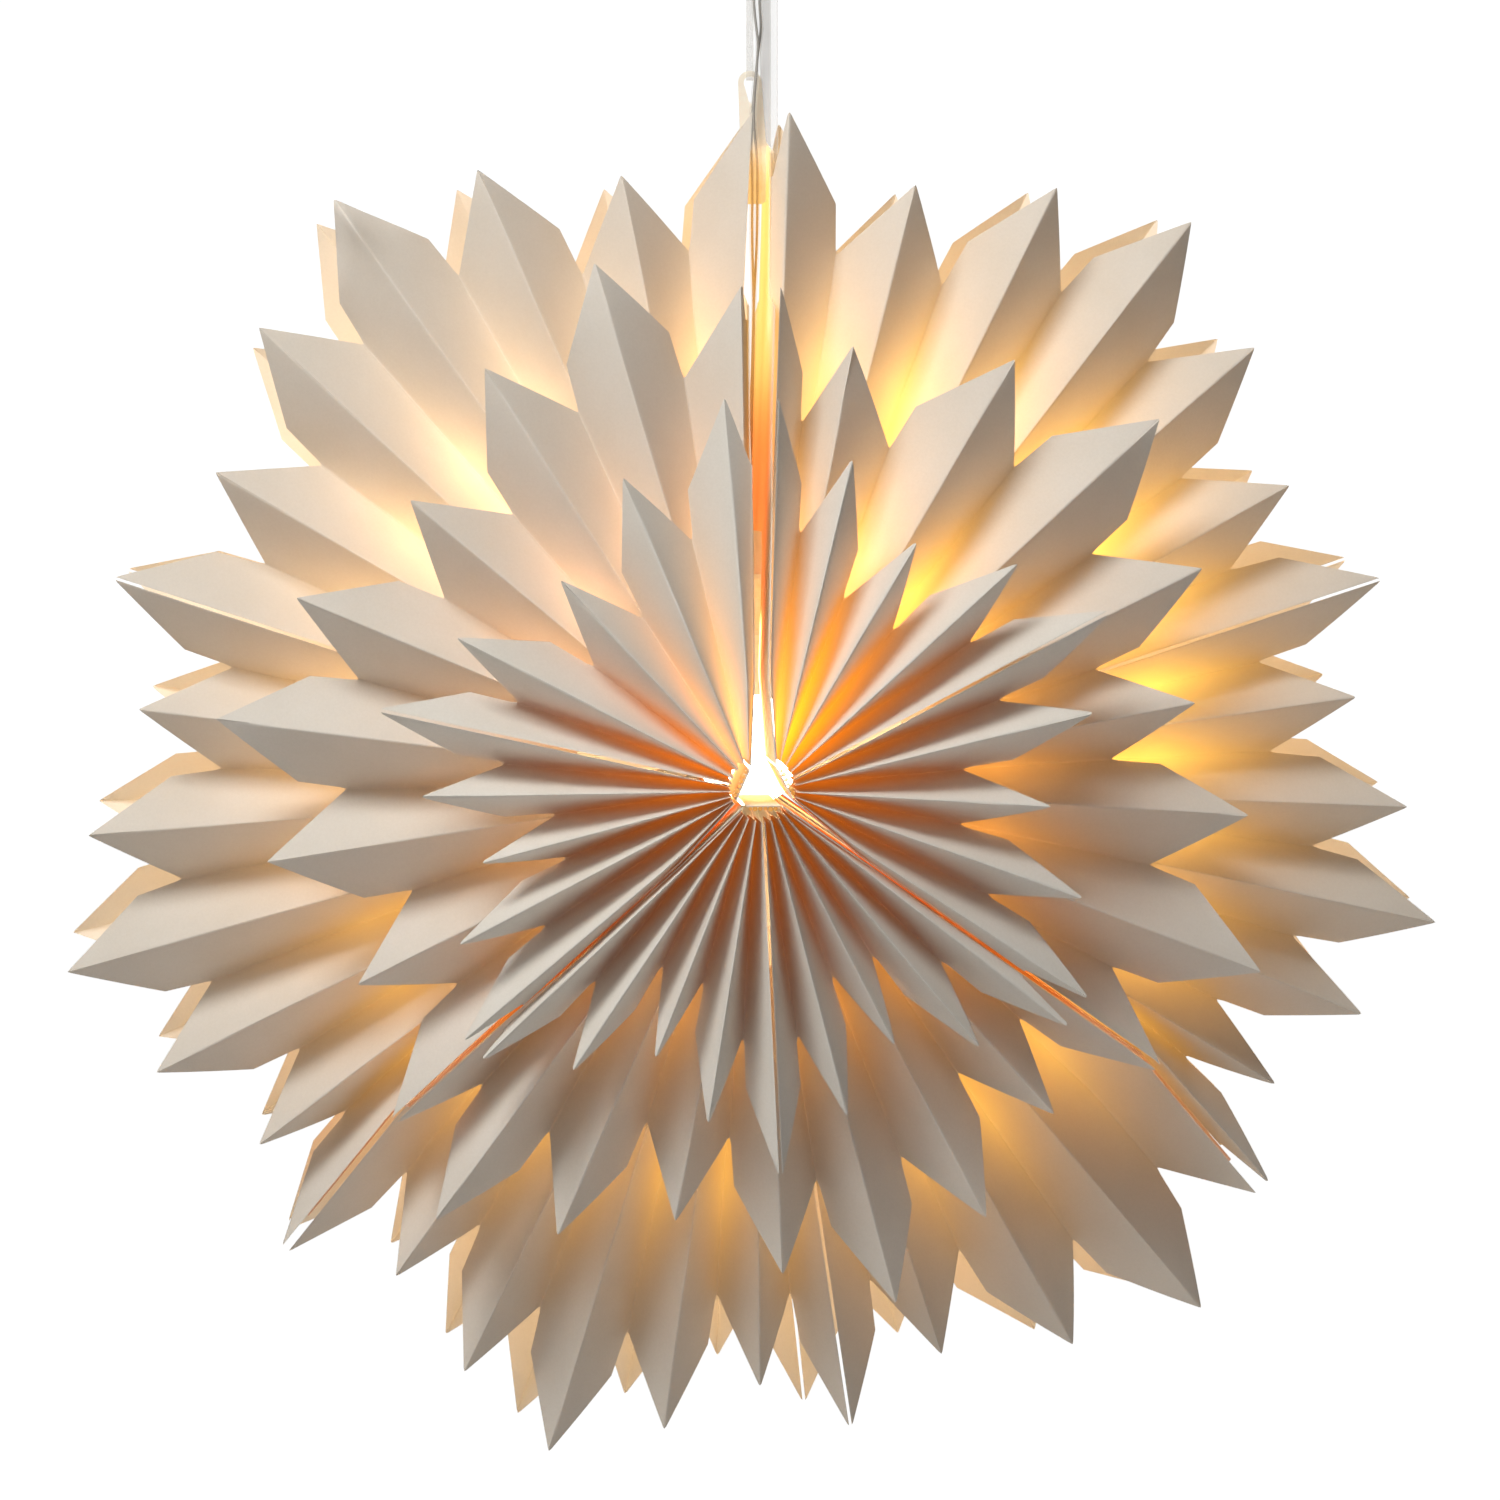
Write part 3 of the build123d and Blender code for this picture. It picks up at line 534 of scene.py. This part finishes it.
def half_object(name, runs, tier, front, start, end, bodies):
    """One half of a book's pleats, blended between two bodies from azimuth start to end."""
    points, faces, weights, glow = [], [], [], []
    count = 0
    for run in runs:
        colours = np.concatenate([
            np.column_stack([glow_colour(tier, front, c.radius, c.azimuth, c.share),
                             painted_shade(tier, c.radius, c.azimuth, c.share)]) for c in run])
        blend = [min(1.0, max(0.0, (start - column.azimuth) / max(start - end, 1e-6)))
                 for column in run]
        faces += run_faces(count, len(run))
        for skin in (0, 1):
            points += [np.stack([c.plan[:, 0], c.y + skin * c.thickness, c.plan[:, 1]], -1)
                       for c in run]
            weights += list(np.repeat(blend, len(ROWS)))
            glow.append(colours)
        count += 2 * len(run) * len(ROWS)
    places = (np.concatenate(points) - HANG) * MM
    if not front:
        places[:, 1] *= -1
        faces = [face[::-1] for face in faces]
    mesh = bpy.data.meshes.new(name)
    mesh.from_pydata(places.tolist(), [], faces)
    mesh.validate()
    bm = bmesh.new()
    bm.from_mesh(mesh)
    bmesh.ops.recalc_face_normals(bm, faces=bm.faces)
    bm.to_mesh(mesh)
    bm.free()
    shade_smooth(mesh, sharp_degrees=38)
    # the glow attribute holds the painted glow in its colour and the painted shade in its alpha
    attribute = mesh.attributes.new("glow", "FLOAT_COLOR", "POINT")
    attribute.data.foreach_set("color", np.concatenate(glow).astype(np.float32).ravel())
    obj = bpy.data.objects.new(name, mesh)
    scene.collection.objects.link(obj)
    # the even blend made here is overwritten with the share by azimuth
    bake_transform(obj, *bodies, start=(0, 0, 0), end=(0, 0, 0.1))
    mesh.attributes["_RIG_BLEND"].data.foreach_set("value", np.array(weights, np.float32))
    return obj


def build_pleats(tier, book, front, material):
    """The pleats of one tier, book and face, as two meshes that meet on a middle crease."""
    end_body, spine_body, other_body = BOOK_BODIES[book]
    joint = next(j for j in frame["joints"]
                 if j["parent"] == end_body and j["child"] == spine_body)
    sheets = crease_sheets(tier, book, front)
    low, high = sheets[0][0].azimuth, sheets[-1][-1].azimuth
    candidates = sorted({round(crease.azimuth, 3) for s in sheets for crease in s[1:-1]}
                        | {round(s[0].azimuth, 3) for s in sheets[1:]})
    # split on the crease nearest the first joint's full turn from the clockwise end
    split = min(candidates, key=lambda azimuth: abs((high - azimuth) - joint["range_deg"][1]))
    face = f"{TIER_NAMES[tier]}_{'front' if front else 'back'}"
    halves = split_runs(tier, book, front, sheets, split)
    made = [half_object(f"{face}_pleats_{book}_{letter}", runs, tier, front, *span, bodies)
            for letter, runs, span, bodies in zip(
                "ab", halves, ((high, split), (split, low)),
                ((end_body, spine_body), (spine_body, other_body)))
            if runs]
    # the clockwise half stands for CAD sheet b, the other for sheet a, where there are two
    for piece, letter in zip(made, "ba"):
        piece.data.materials.append(material)
        suffix = "" if len(sheets) == 1 else f"_{letter}"
        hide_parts(f"{face}_sheet_{book}{suffix}")


# ------------------------------------------------------------------ shader helpers
def node_material(name):
    material = bpy.data.materials.new(name)
    material.use_nodes = True
    material.node_tree.nodes.clear()
    return material, material.node_tree


def add(tree, kind, inputs, **properties):
    """Add a shader node; each input takes a value, or a socket to link from."""
    node = tree.nodes.new("ShaderNode" + kind)
    for key, value in properties.items():
        setattr(node, key, value)
    for key, value in inputs.items():
        if isinstance(value, bpy.types.NodeSocket):
            tree.links.new(value, node.inputs[key])
        else:
            node.inputs[key].default_value = value
    return node


def object_coords(tree):
    return add(tree, "TexCoord", {}).outputs["Object"]


def noise(tree, vector, scale, detail=2.0, roughness=0.5):
    return add(tree, "TexNoise", {"Vector": vector, "Scale": scale, "Detail": detail,
                                  "Roughness": roughness}).outputs["Fac"]


def colour_ramp(tree, factor, *stops):
    """Map a factor through stops of (position, colour), in rising order."""
    node = add(tree, "ValToRGB", {"Fac": factor})
    elements = node.color_ramp.elements
    for i, (position, colour) in enumerate((stops[0], stops[-1])):
        elements[i].position = position
        elements[i].color = (*colour, 1)
    for position, colour in stops[1:-1]:
        elements.new(position).color = (*colour, 1)
    return node.outputs["Color"]


def mix_colours(tree, factor, first, second, blend="MIX"):
    # sockets 6 and 7 are the colours A and B, output 2 the mixed colour
    return add(tree, "Mix", {"Factor": factor, 6: first, 7: second},
               data_type="RGBA", blend_type=blend).outputs[2]


def bump(tree, height, strength, distance, **more):
    return add(tree, "Bump", {"Height": height, "Strength": strength, "Distance": distance,
                              **more}).outputs["Normal"]


def map_range(tree, value, source=(0.0, 1.0), result=(0.0, 1.0), interpolation="LINEAR"):
    return add(tree, "MapRange", {"Value": value, "From Min": source[0], "From Max": source[1],
                                  "To Min": result[0], "To Max": result[1]},
               interpolation_type=interpolation).outputs["Result"]


def maths(tree, operation, *values):
    return add(tree, "Math", dict(enumerate(values)), operation=operation).outputs[0]


def scaled(colour, factors):
    return tuple(channel * factor for channel, factor in zip(colour, factors))


# ------------------------------------------------------------------ paper and card
def paper_base(tree, coords, tint, grain):
    """Uncoated paper, fibre grain and faint mottling: (colour socket, Principled node)."""
    stretched = add(tree, "Mapping", {"Vector": coords, "Scale": (1.0, 0.45, 1.0)})
    fibre = noise(tree, stretched.outputs["Vector"], scale=900.0, detail=6.0, roughness=0.65)
    blotch = noise(tree, coords, scale=34.0, detail=4.0)
    mottled = colour_ramp(tree, blotch, (0.30, scaled(tint, (0.955, 0.945, 0.925))),
                          (0.72, tint))
    fleck = colour_ramp(tree, fibre, (0.35, (0.62, 0.60, 0.56)), (0.62, (1, 1, 1)))
    colour = mix_colours(tree, 0.10 * grain, mottled, fleck, blend="MULTIPLY")
    rough = bump(tree, fibre, strength=0.16 * grain, distance=0.0004)
    wavy = bump(tree, noise(tree, coords, scale=22.0), strength=0.12, distance=0.004,
                Normal=rough)
    surface = add(tree, "BsdfPrincipled", {
        "Roughness": 0.88, "Specular IOR Level": 0.22, "Sheen Weight": 0.08,
        "Sheen Roughness": 0.6, "Normal": wavy})
    return colour, surface


def connect(tree, node, inputs):
    for key, socket in inputs.items():
        tree.links.new(socket, node.inputs[key])


def paper_output(tree, surface, translucency):
    """Let a little light soak through, and send the result to the output."""
    through = add(tree, "BsdfTranslucent", {"Color": (1.0, 0.80, 0.54, 1)})
    mixed = add(tree, "MixShader", {"Fac": translucency, 1: surface.outputs["BSDF"],
                                    2: through.outputs["BSDF"]})
    add(tree, "OutputMaterial", {"Surface": mixed.outputs["Shader"]})


def pleat_material(name, translucency):
    """Pleated paper: the mesh's glow attribute lights it with painted glow, its alpha paints brown-orange
    shade into it.
    """
    material, tree = node_material(name)
    colour, surface = paper_base(tree, object_coords(tree), tint=(0.82, 0.79, 0.735), grain=1.0)
    glow = add(tree, "Attribute", {}, attribute_name="glow")
    # painted shade: the attribute's alpha turns the paper colour brown-orange
    brown = mix_colours(tree, glow.outputs["Alpha"], colour, (0.34, 0.150, 0.055, 1))
    connect(tree, surface, {"Base Color": brown, "Emission Color": glow.outputs["Color"]})
    surface.inputs["Emission Strength"].default_value = 1.0
    paper_output(tree, surface, translucency)
    return material


def cover_material(name, glow_tint, near, far, lamp, rim):
    """Card lit from inside: near and far are its glow by the star's axis and at the tips,
    lamp the extra beside the bulb, rim the depths (m) where the glow starts and is full."""
    material, tree = node_material(name)
    coords = object_coords(tree)
    colour, surface = paper_base(tree, coords, tint=(0.86, 0.83, 0.77), grain=1.2)
    from_middle = add(tree, "VectorMath", {0: coords, 1: tuple(STAR)}, operation="SUBTRACT")
    apart = add(tree, "SeparateXYZ", {"Vector": from_middle.outputs["Vector"]}).outputs
    flat = add(tree, "CombineXYZ", {"X": apart["X"], "Z": apart["Z"]})
    away = add(tree, "VectorMath", {0: flat.outputs["Vector"]},
               operation="LENGTH").outputs["Value"]
    deep = maths(tree, "ABSOLUTE", apart["Y"])

    def smooth(value, source, result=(0.0, 1.0)):
        return map_range(tree, value, source, result, interpolation="SMOOTHSTEP")

    glow = maths(tree, "MULTIPLY", smooth(away, (0.02, 0.27), (near, far)), smooth(deep, rim))
    lamp_share = maths(tree, "MULTIPLY", smooth(away, (0.064, 0.074), (1.0, 0.0)),
                       smooth(deep, (0.075, 0.055)))
    bright = maths(tree, "MULTIPLY", lamp_share, lamp)
    # light that has bounced down the seam comes back orange
    seam = maths(tree, "MULTIPLY", smooth(deep, (rim[0] - 0.004, rim[1] + 0.02)),
                 smooth(away, (0.140, 0.180), (1.0, 0.12)))
    connect(tree, surface, {
        "Emission Strength": maths(tree, "ADD", glow, bright),
        "Base Color": mix_colours(tree, seam, colour, (0.80, 0.33, 0.06, 1)),
        "Emission Color": mix_colours(tree, lamp_share, (*glow_tint, 1),
                                      (1.0, 0.80, 0.42, 1))})
    paper_output(tree, surface, translucency=0.12)
    return material


def set_material(obj, material):
    obj.data.materials.clear()
    obj.data.materials.append(material)


pleat_papers = {tier: pleat_material(f"pleated_paper_{TIER_NAMES[tier]}", translucency)
                for tier, translucency in ((1, 0.06), (2, 0.12), (3, 0.16))}
cover_upper = cover_material("cover_card_upper", glow_tint=(1.0, 0.60, 0.16),
                             near=0.08, far=0.60, lamp=2.2, rim=(0.118, 0.045))
cover_lower = cover_material("cover_card_lower", glow_tint=(1.0, 0.26, 0.02),
                             near=0.34, far=0.14, lamp=0.5, rim=(0.130, 0.085))
cover_spine = cover_material("cover_card_spine", glow_tint=(1.0, 0.55, 0.16),
                             near=0.55, far=0.5, lamp=0.4, rim=(0.130, 0.085))

for tier in (1, 2, 3):
    for book in ("right", "bottom", "left"):
        for front in (True, False):
            build_pleats(tier, book, front, pleat_papers[tier])

for name, obj in nodes.items():
    if name.endswith("_spine"):
        set_material(obj, cover_spine)
    elif name.endswith("_cover_leaf"):
        set_material(obj, cover_upper if "upper" in name else cover_lower)


# ------------------------------------------------------------------ fittings
def fitting_material(name, colour, roughness, bump_scale, bump_strength, alpha=1.0,
                     metallic=0.0, emission=None, strength=0.0):
    """Plastic, metal or glass with faint uneven colour, sheen and surface."""
    material, tree = node_material(name)
    grain = noise(tree, object_coords(tree), scale=bump_scale, detail=4.0)
    surface = add(tree, "BsdfPrincipled", {
        "Base Color": colour_ramp(tree, grain, (0.3, scaled(colour, (0.93, 0.93, 0.92))),
                                  (0.7, colour)),
        "Roughness": map_range(tree, grain, result=(roughness - 0.06, roughness + 0.08)),
        "Normal": bump(tree, grain, strength=bump_strength, distance=0.0004),
        "Metallic": metallic, "Alpha": alpha})
    if emission:
        surface.inputs["Emission Color"].default_value = (*emission, 1)
        surface.inputs["Emission Strength"].default_value = strength
    add(tree, "OutputMaterial", {"Surface": surface.outputs["BSDF"]})
    return material


def strand_material():
    """Clear film folded over: a greyer double layer left, a single one right, edge lines."""
    material, tree = node_material("clear_ribbon_strand")
    coords = object_coords(tree)
    x = add(tree, "SeparateXYZ", {"Vector": coords}).outputs["X"]
    # across the strand, left edge to right edge
    across = map_range(tree, x, source=(0.0058 + STAR[0], 0.0134 + STAR[0]))
    opacity = ((0.0, 0.75), (0.04, 0.40), (0.54, 0.36), (0.57, 0.62), (0.61, 0.14),
               (0.95, 0.12), (1.0, 0.60))
    alpha = colour_ramp(tree, across, *((place, (value,) * 3) for place, value in opacity))
    surface = add(tree, "BsdfPrincipled", {
        "Base Color": (0.80, 0.79, 0.77, 1), "Roughness": 0.3, "Alpha": alpha,
        "Normal": bump(tree, noise(tree, coords, scale=240.0), strength=0.2,
                       distance=0.0004)})
    add(tree, "OutputMaterial", {"Surface": surface.outputs["BSDF"]})
    return material


# painted glow: the beads' emission paints their yellow-orange glints and glow; they are no lamp
glue_painted_glow = fitting_material("hot_glue_painted_glow", (0.72, 0.42, 0.14), roughness=0.10, bump_scale=260.0,
                        bump_strength=0.3, alpha=0.8, emission=(1.0, 0.50, 0.10),
                        strength=0.35)
# painted glow: the emission paints lamp light showing through the hanging piece; it is no lamp
tab_painted_glow = fitting_material("tab_translucent_painted_glow", (0.93, 0.88, 0.78), roughness=0.45,
                       bump_scale=300.0, bump_strength=0.05, emission=(1.0, 0.83, 0.6),
                       strength=0.12)
ribbon = fitting_material("clear_ribbon", (0.90, 0.90, 0.89), roughness=0.22,
                          bump_scale=180.0, bump_strength=0.15, alpha=0.22)
jacket = fitting_material("clear_jacket", (0.92, 0.92, 0.90), roughness=0.10,
                          bump_scale=120.0, bump_strength=0.08, alpha=0.16)
strands = fitting_material("tinned_strands", (0.42, 0.39, 0.36), roughness=0.35,
                           bump_scale=900.0, bump_strength=0.4, metallic=0.9)
holder = fitting_material("holder_plastic", (0.88, 0.88, 0.86), roughness=0.30,
                          bump_scale=420.0, bump_strength=0.03)
holder_core = fitting_material("holder_core", (0.82, 0.80, 0.76), roughness=0.25,
                               bump_scale=260.0, bump_strength=0.04)
brass = fitting_material("plain_brass", (0.80, 0.60, 0.28), roughness=0.28,
                         bump_scale=500.0, bump_strength=0.1, metallic=1.0)
bulb_cap = fitting_material("bulb_cap", (0.75, 0.75, 0.76), roughness=0.25,
                            bump_scale=500.0, bump_strength=0.1, metallic=1.0)
glass = fitting_material("frosted_glass", (1.0, 0.97, 0.92), roughness=0.35,
                         bump_scale=300.0, bump_strength=0.03, emission=(1.0, 0.86, 0.62),
                         strength=18.0)
filament = fitting_material("phosphor_sticks", (0.95, 0.75, 0.35), roughness=0.5,
                            bump_scale=400.0, bump_strength=0.1,
                            emission=(1.0, 0.72, 0.35), strength=10.0)
FITTINGS = (
    (glue_painted_glow, ("left_glue_beads", "bottom_glue_beads", "right_glue_beads")),
    (tab_painted_glow, ("hanging_tab",)),
    (ribbon, ("ribbon_loop",)),
    (strand_material(), ("ribbon_strand",)),
    (jacket, ("cable_jacket",)),
    (strands, ("cable_core_front", "cable_core_back")),
    (holder, ("lampholder_shell", "cord_grip")),
    (holder_core, ("lampholder_core",)),
    (brass, ("lampholder_thread_sleeve", "lampholder_centre_contact", "bulb_base_contact")),
    (bulb_cap, ("bulb_cap",)),
    (glass, ("bulb_glass",)),
    (filament, ("bulb_filament",)),
)
for material, pieces in FITTINGS:
    for piece in pieces:
        set_material(nodes[piece], material)
for name in ("bulb_glass", "bulb_filament"):
    nodes[name].visible_shadow = False

# ------------------------------------------------------------------ twisted cable
# the cable's middle: x, y, z, mm
CABLE_PATH = np.array([
    (1.0, 0.0, 81.0), (1.0, 0.0, 100.0), (1.8, -2.6, 145.0), (2.6, -4.6, 190.0),
    (3.1, -5.2, 235.0), (3.2, -5.2, 258.0), (2.4, -5.2, 283.0), (4.1, -5.2, 306.0),
    (4.9, -5.2, 317.0), (4.0, -5.2, 333.0), (4.3, -5.2, 360.0), (4.8, -5.2, 396.0)])
# height z, mm, and direction across the cable, degrees; 90 leaves it as the CAD has it
CABLE_TWIST = np.array([
    (81, 270), (150, 270), (205, 262), (235, 205), (262, 182), (276, 120), (288, 98),
    (306, 90), (315, 72), (323, 24), (333, 4), (360, -14), (396, -35)], float)
CABLE_CUTS = np.arange(0.0835, 0.3945, 0.003)    # heights of the cross cuts, m


def smooth_through(z, knots, values):
    """Smooth cubic through the knots."""
    slope = np.gradient(values, knots)
    i = np.clip(np.searchsorted(knots, z) - 1, 0, len(knots) - 2)
    step = knots[i + 1] - knots[i]
    s = np.clip((z - knots[i]) / step, 0, 1)
    return ((2 * s ** 3 - 3 * s ** 2 + 1) * values[i]
            + (s ** 3 - 2 * s ** 2 + s) * step * slope[i]
            + (-2 * s ** 3 + 3 * s ** 2) * values[i + 1]
            + (s ** 3 - s ** 2) * step * slope[i + 1])


def cut_copy(name):
    """Copy of a cable piece's mesh, cut across at every height so that it can bend."""
    mesh = nodes[name].data.copy()
    mesh.name = name + "_twisted"
    bm = bmesh.new()
    bm.from_mesh(mesh)
    bmesh.ops.remove_doubles(bm, verts=bm.verts, dist=2e-6)
    for z in CABLE_CUTS:
        bmesh.ops.bisect_plane(bm, geom=bm.verts[:] + bm.edges[:] + bm.faces[:],
                               plane_co=(0, 0, z + STAR[2]), plane_no=(0, 0, 1), dist=1e-7)
    bmesh.ops.triangulate(bm, faces=[face for face in bm.faces if len(face.verts) > 4])
    bm.to_mesh(mesh)
    bm.free()
    return mesh


def star_coords(mesh):
    """Vertex places from the middle of the star, m."""
    places = np.empty(len(mesh.vertices) * 3, np.float32)
    mesh.vertices.foreach_get("co", places)
    return places.reshape(-1, 3).astype(float) - STAR


def jacket_middle(mesh):
    """Middle of the straight jacket at each cut: rows of z, x, y."""
    places = star_coords(mesh)
    middle = []
    for z in CABLE_CUTS:
        ring = places[np.abs(places[:, 2] - z) < 2e-5]
        if len(ring) > 5:
            x, y, _ = (ring.min(axis=0) + ring.max(axis=0)) / 2
            middle.append((z, x, y))
    return np.array(middle).T


def twist(mesh, middle):
    """Turn a cable mesh about its middle and lay it along the cable's path."""
    places = star_coords(mesh)
    z = places[:, 2]
    middle_z, middle_x, middle_y = middle
    dx = places[:, 0] - np.interp(z, middle_z, middle_x)
    dy = places[:, 1] - np.interp(z, middle_z, middle_y)
    turn = np.radians(smooth_through(z / MM, CABLE_TWIST[:, 0], CABLE_TWIST[:, 1]) - 90.0)
    path_x, path_y = (smooth_through(z / MM, CABLE_PATH[:, 2], CABLE_PATH[:, axis]) * MM
                      for axis in (0, 1))
    places[:, 0] = path_x + dx * np.cos(turn) - dy * np.sin(turn)
    places[:, 1] = path_y + dx * np.sin(turn) + dy * np.cos(turn)
    mesh.vertices.foreach_set("co", (places + STAR).astype(np.float32).ravel())
    mesh.update()


cable_meshes = {name: cut_copy(name)
                for name in ("cable_jacket", "cable_core_front", "cable_core_back")}
cable_middle = jacket_middle(cable_meshes["cable_jacket"])
for name, mesh in cable_meshes.items():
    twist(mesh, cable_middle)
    shade_smooth(mesh, sharp_degrees=50)
    obj = bpy.data.objects.new(name + "_twisted", mesh)
    scene.collection.objects.link(obj)
    is_jacket = name == "cable_jacket"
    set_material(obj, jacket if is_jacket else strands)
    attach(obj, "left_end")
    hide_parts(name)

# ------------------------------------------------------------------ world and lights
scene.view_settings.view_transform = "Standard"
scene.view_settings.look = "None"


def build_world():
    """White to the camera, a dim warm fill for everything else."""
    world = bpy.data.worlds.new("studio")
    scene.world = world
    world.use_nodes = True
    tree = world.node_tree
    tree.nodes.clear()
    seen = add(tree, "Background", {"Color": (1, 1, 1, 1), "Strength": 1.05})
    fill = add(tree, "Background", {"Color": (1.0, 0.985, 0.96, 1), "Strength": 0.13})
    path = add(tree, "LightPath", {})
    mixed = add(tree, "MixShader", {"Fac": path.outputs["Is Camera Ray"],
                                    1: fill.outputs["Background"],
                                    2: seen.outputs["Background"]})
    add(tree, "OutputWorld", {"Surface": mixed.outputs["Shader"]})


def add_light(name, kind, place, energy, colour):
    light = bpy.data.lights.new(name, kind)
    light.energy = energy
    light.color = colour
    obj = bpy.data.objects.new(name, light)
    scene.collection.objects.link(obj)
    obj.location = place
    return obj


def softbox(name, place, size, energy, colour, target=(0, 0, 0)):
    """Square light; place and target are metres from the middle of the star."""
    obj = add_light(name, "AREA", Vector(place) + Vector(STAR), energy, colour)
    obj.data.shape = "SQUARE"
    obj.data.size = size
    obj.rotation_mode = "QUATERNION"
    obj.rotation_quaternion = (Vector(target) - Vector(place)).to_track_quat("-Z", "Y")


build_world()
softbox("key_softbox", place=(-0.60, -0.86, 1.18), target=(0, 0, 0.06), size=0.6, energy=18.0,
        colour=(1.0, 0.985, 0.95))
softbox("left_fill", place=(-2.2, -1.3, 0.6), size=1.2, energy=5.0, colour=(1.0, 0.97, 0.92))
softbox("back_fill", place=(0.9, 2.0, 1.2), size=1.4, energy=24.0, colour=(1.0, 0.98, 0.96))

BULB_LIGHT_HEIGHT = 0.0225    # above the bottom of the glass, m
glass_lo, glass_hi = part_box("bulb_glass")
bulb_place = Vector(((glass_lo.x + glass_hi.x) / 2, (glass_lo.y + glass_hi.y) / 2,
                     glass_lo.z + BULB_LIGHT_HEIGHT))
bulb_light = add_light("bulb_light", "POINT", bulb_place, energy=2.0, colour=(1.0, 0.62, 0.26))
bulb_light.data.shadow_soft_size = 0.020

# ------------------------------------------------------------------ floor
FLOOR_Z = -0.95    # from the middle of the star, m


def floor_material():
    """Pale floor that looks almost white to the camera but lights the star little."""
    material, tree = node_material("pale_floor")
    mottle = add(tree, "TexNoise", {"Scale": 3.0}).outputs["Fac"]
    colour = colour_ramp(tree, mottle, (0.0, (0.93,) * 3), (1.0, (0.96,) * 3))
    diffuse = add(tree, "BsdfDiffuse", {"Color": colour})
    seen = add(tree, "LightPath", {}).outputs["Is Camera Ray"]
    emission = add(tree, "Emission", {"Strength": map_range(tree, seen, result=(0.05, 0.90))})
    both = add(tree, "AddShader", {0: diffuse.outputs["BSDF"], 1: emission.outputs["Emission"]})
    add(tree, "OutputMaterial", {"Surface": both.outputs["Shader"]})
    return material


def build_floor():
    bm = bmesh.new()
    bmesh.ops.create_grid(bm, x_segments=24, y_segments=24, size=14.0)
    for vert in bm.verts:
        vert.co.z = FLOOR_Z + STAR[2]
    mesh = bpy.data.meshes.new("floor")
    bm.to_mesh(mesh)
    bm.free()
    floor = bpy.data.objects.new("floor", mesh)
    floor.data.materials.append(floor_material())
    scene.collection.objects.link(floor)


build_floor()

# ------------------------------------------------------------------ camera
# a long lens, slightly left of and above the star's axis
CAMERA_AZIMUTH = math.radians(-3.09)
CAMERA_ELEVATION = math.radians(2.90)
CAMERA_DISTANCE = 2.2
VIEW_WIDTH = 0.6423          # width seen at the camera's distance, m
AIM_FROM_STAR = Vector((0.0, -0.034, 0.0))
AIM_RIGHT = -0.0004282       # shifts of the aim across the view, m
AIM_UP = 0.0113473
SENSOR_WIDTH = 36.0          # mm


def build_camera():
    data = bpy.data.cameras.new("camera")
    camera = bpy.data.objects.new("camera", data)
    scene.collection.objects.link(camera)
    back = Vector((math.sin(CAMERA_AZIMUTH) * math.cos(CAMERA_ELEVATION),
                   -math.cos(CAMERA_AZIMUTH) * math.cos(CAMERA_ELEVATION),
                   math.sin(CAMERA_ELEVATION)))
    turn = (-back).to_track_quat("-Z", "Y")
    aim = AIM_FROM_STAR + Vector(STAR) + turn @ Vector((AIM_RIGHT, AIM_UP, 0))
    camera.location = aim + back * CAMERA_DISTANCE
    camera.rotation_mode = "QUATERNION"
    camera.rotation_quaternion = turn
    data.sensor_width = SENSOR_WIDTH
    data.lens = SENSOR_WIDTH * CAMERA_DISTANCE / VIEW_WIDTH
    data.clip_start = 0.05
    data.clip_end = 60.0
    scene.camera = camera


build_camera()
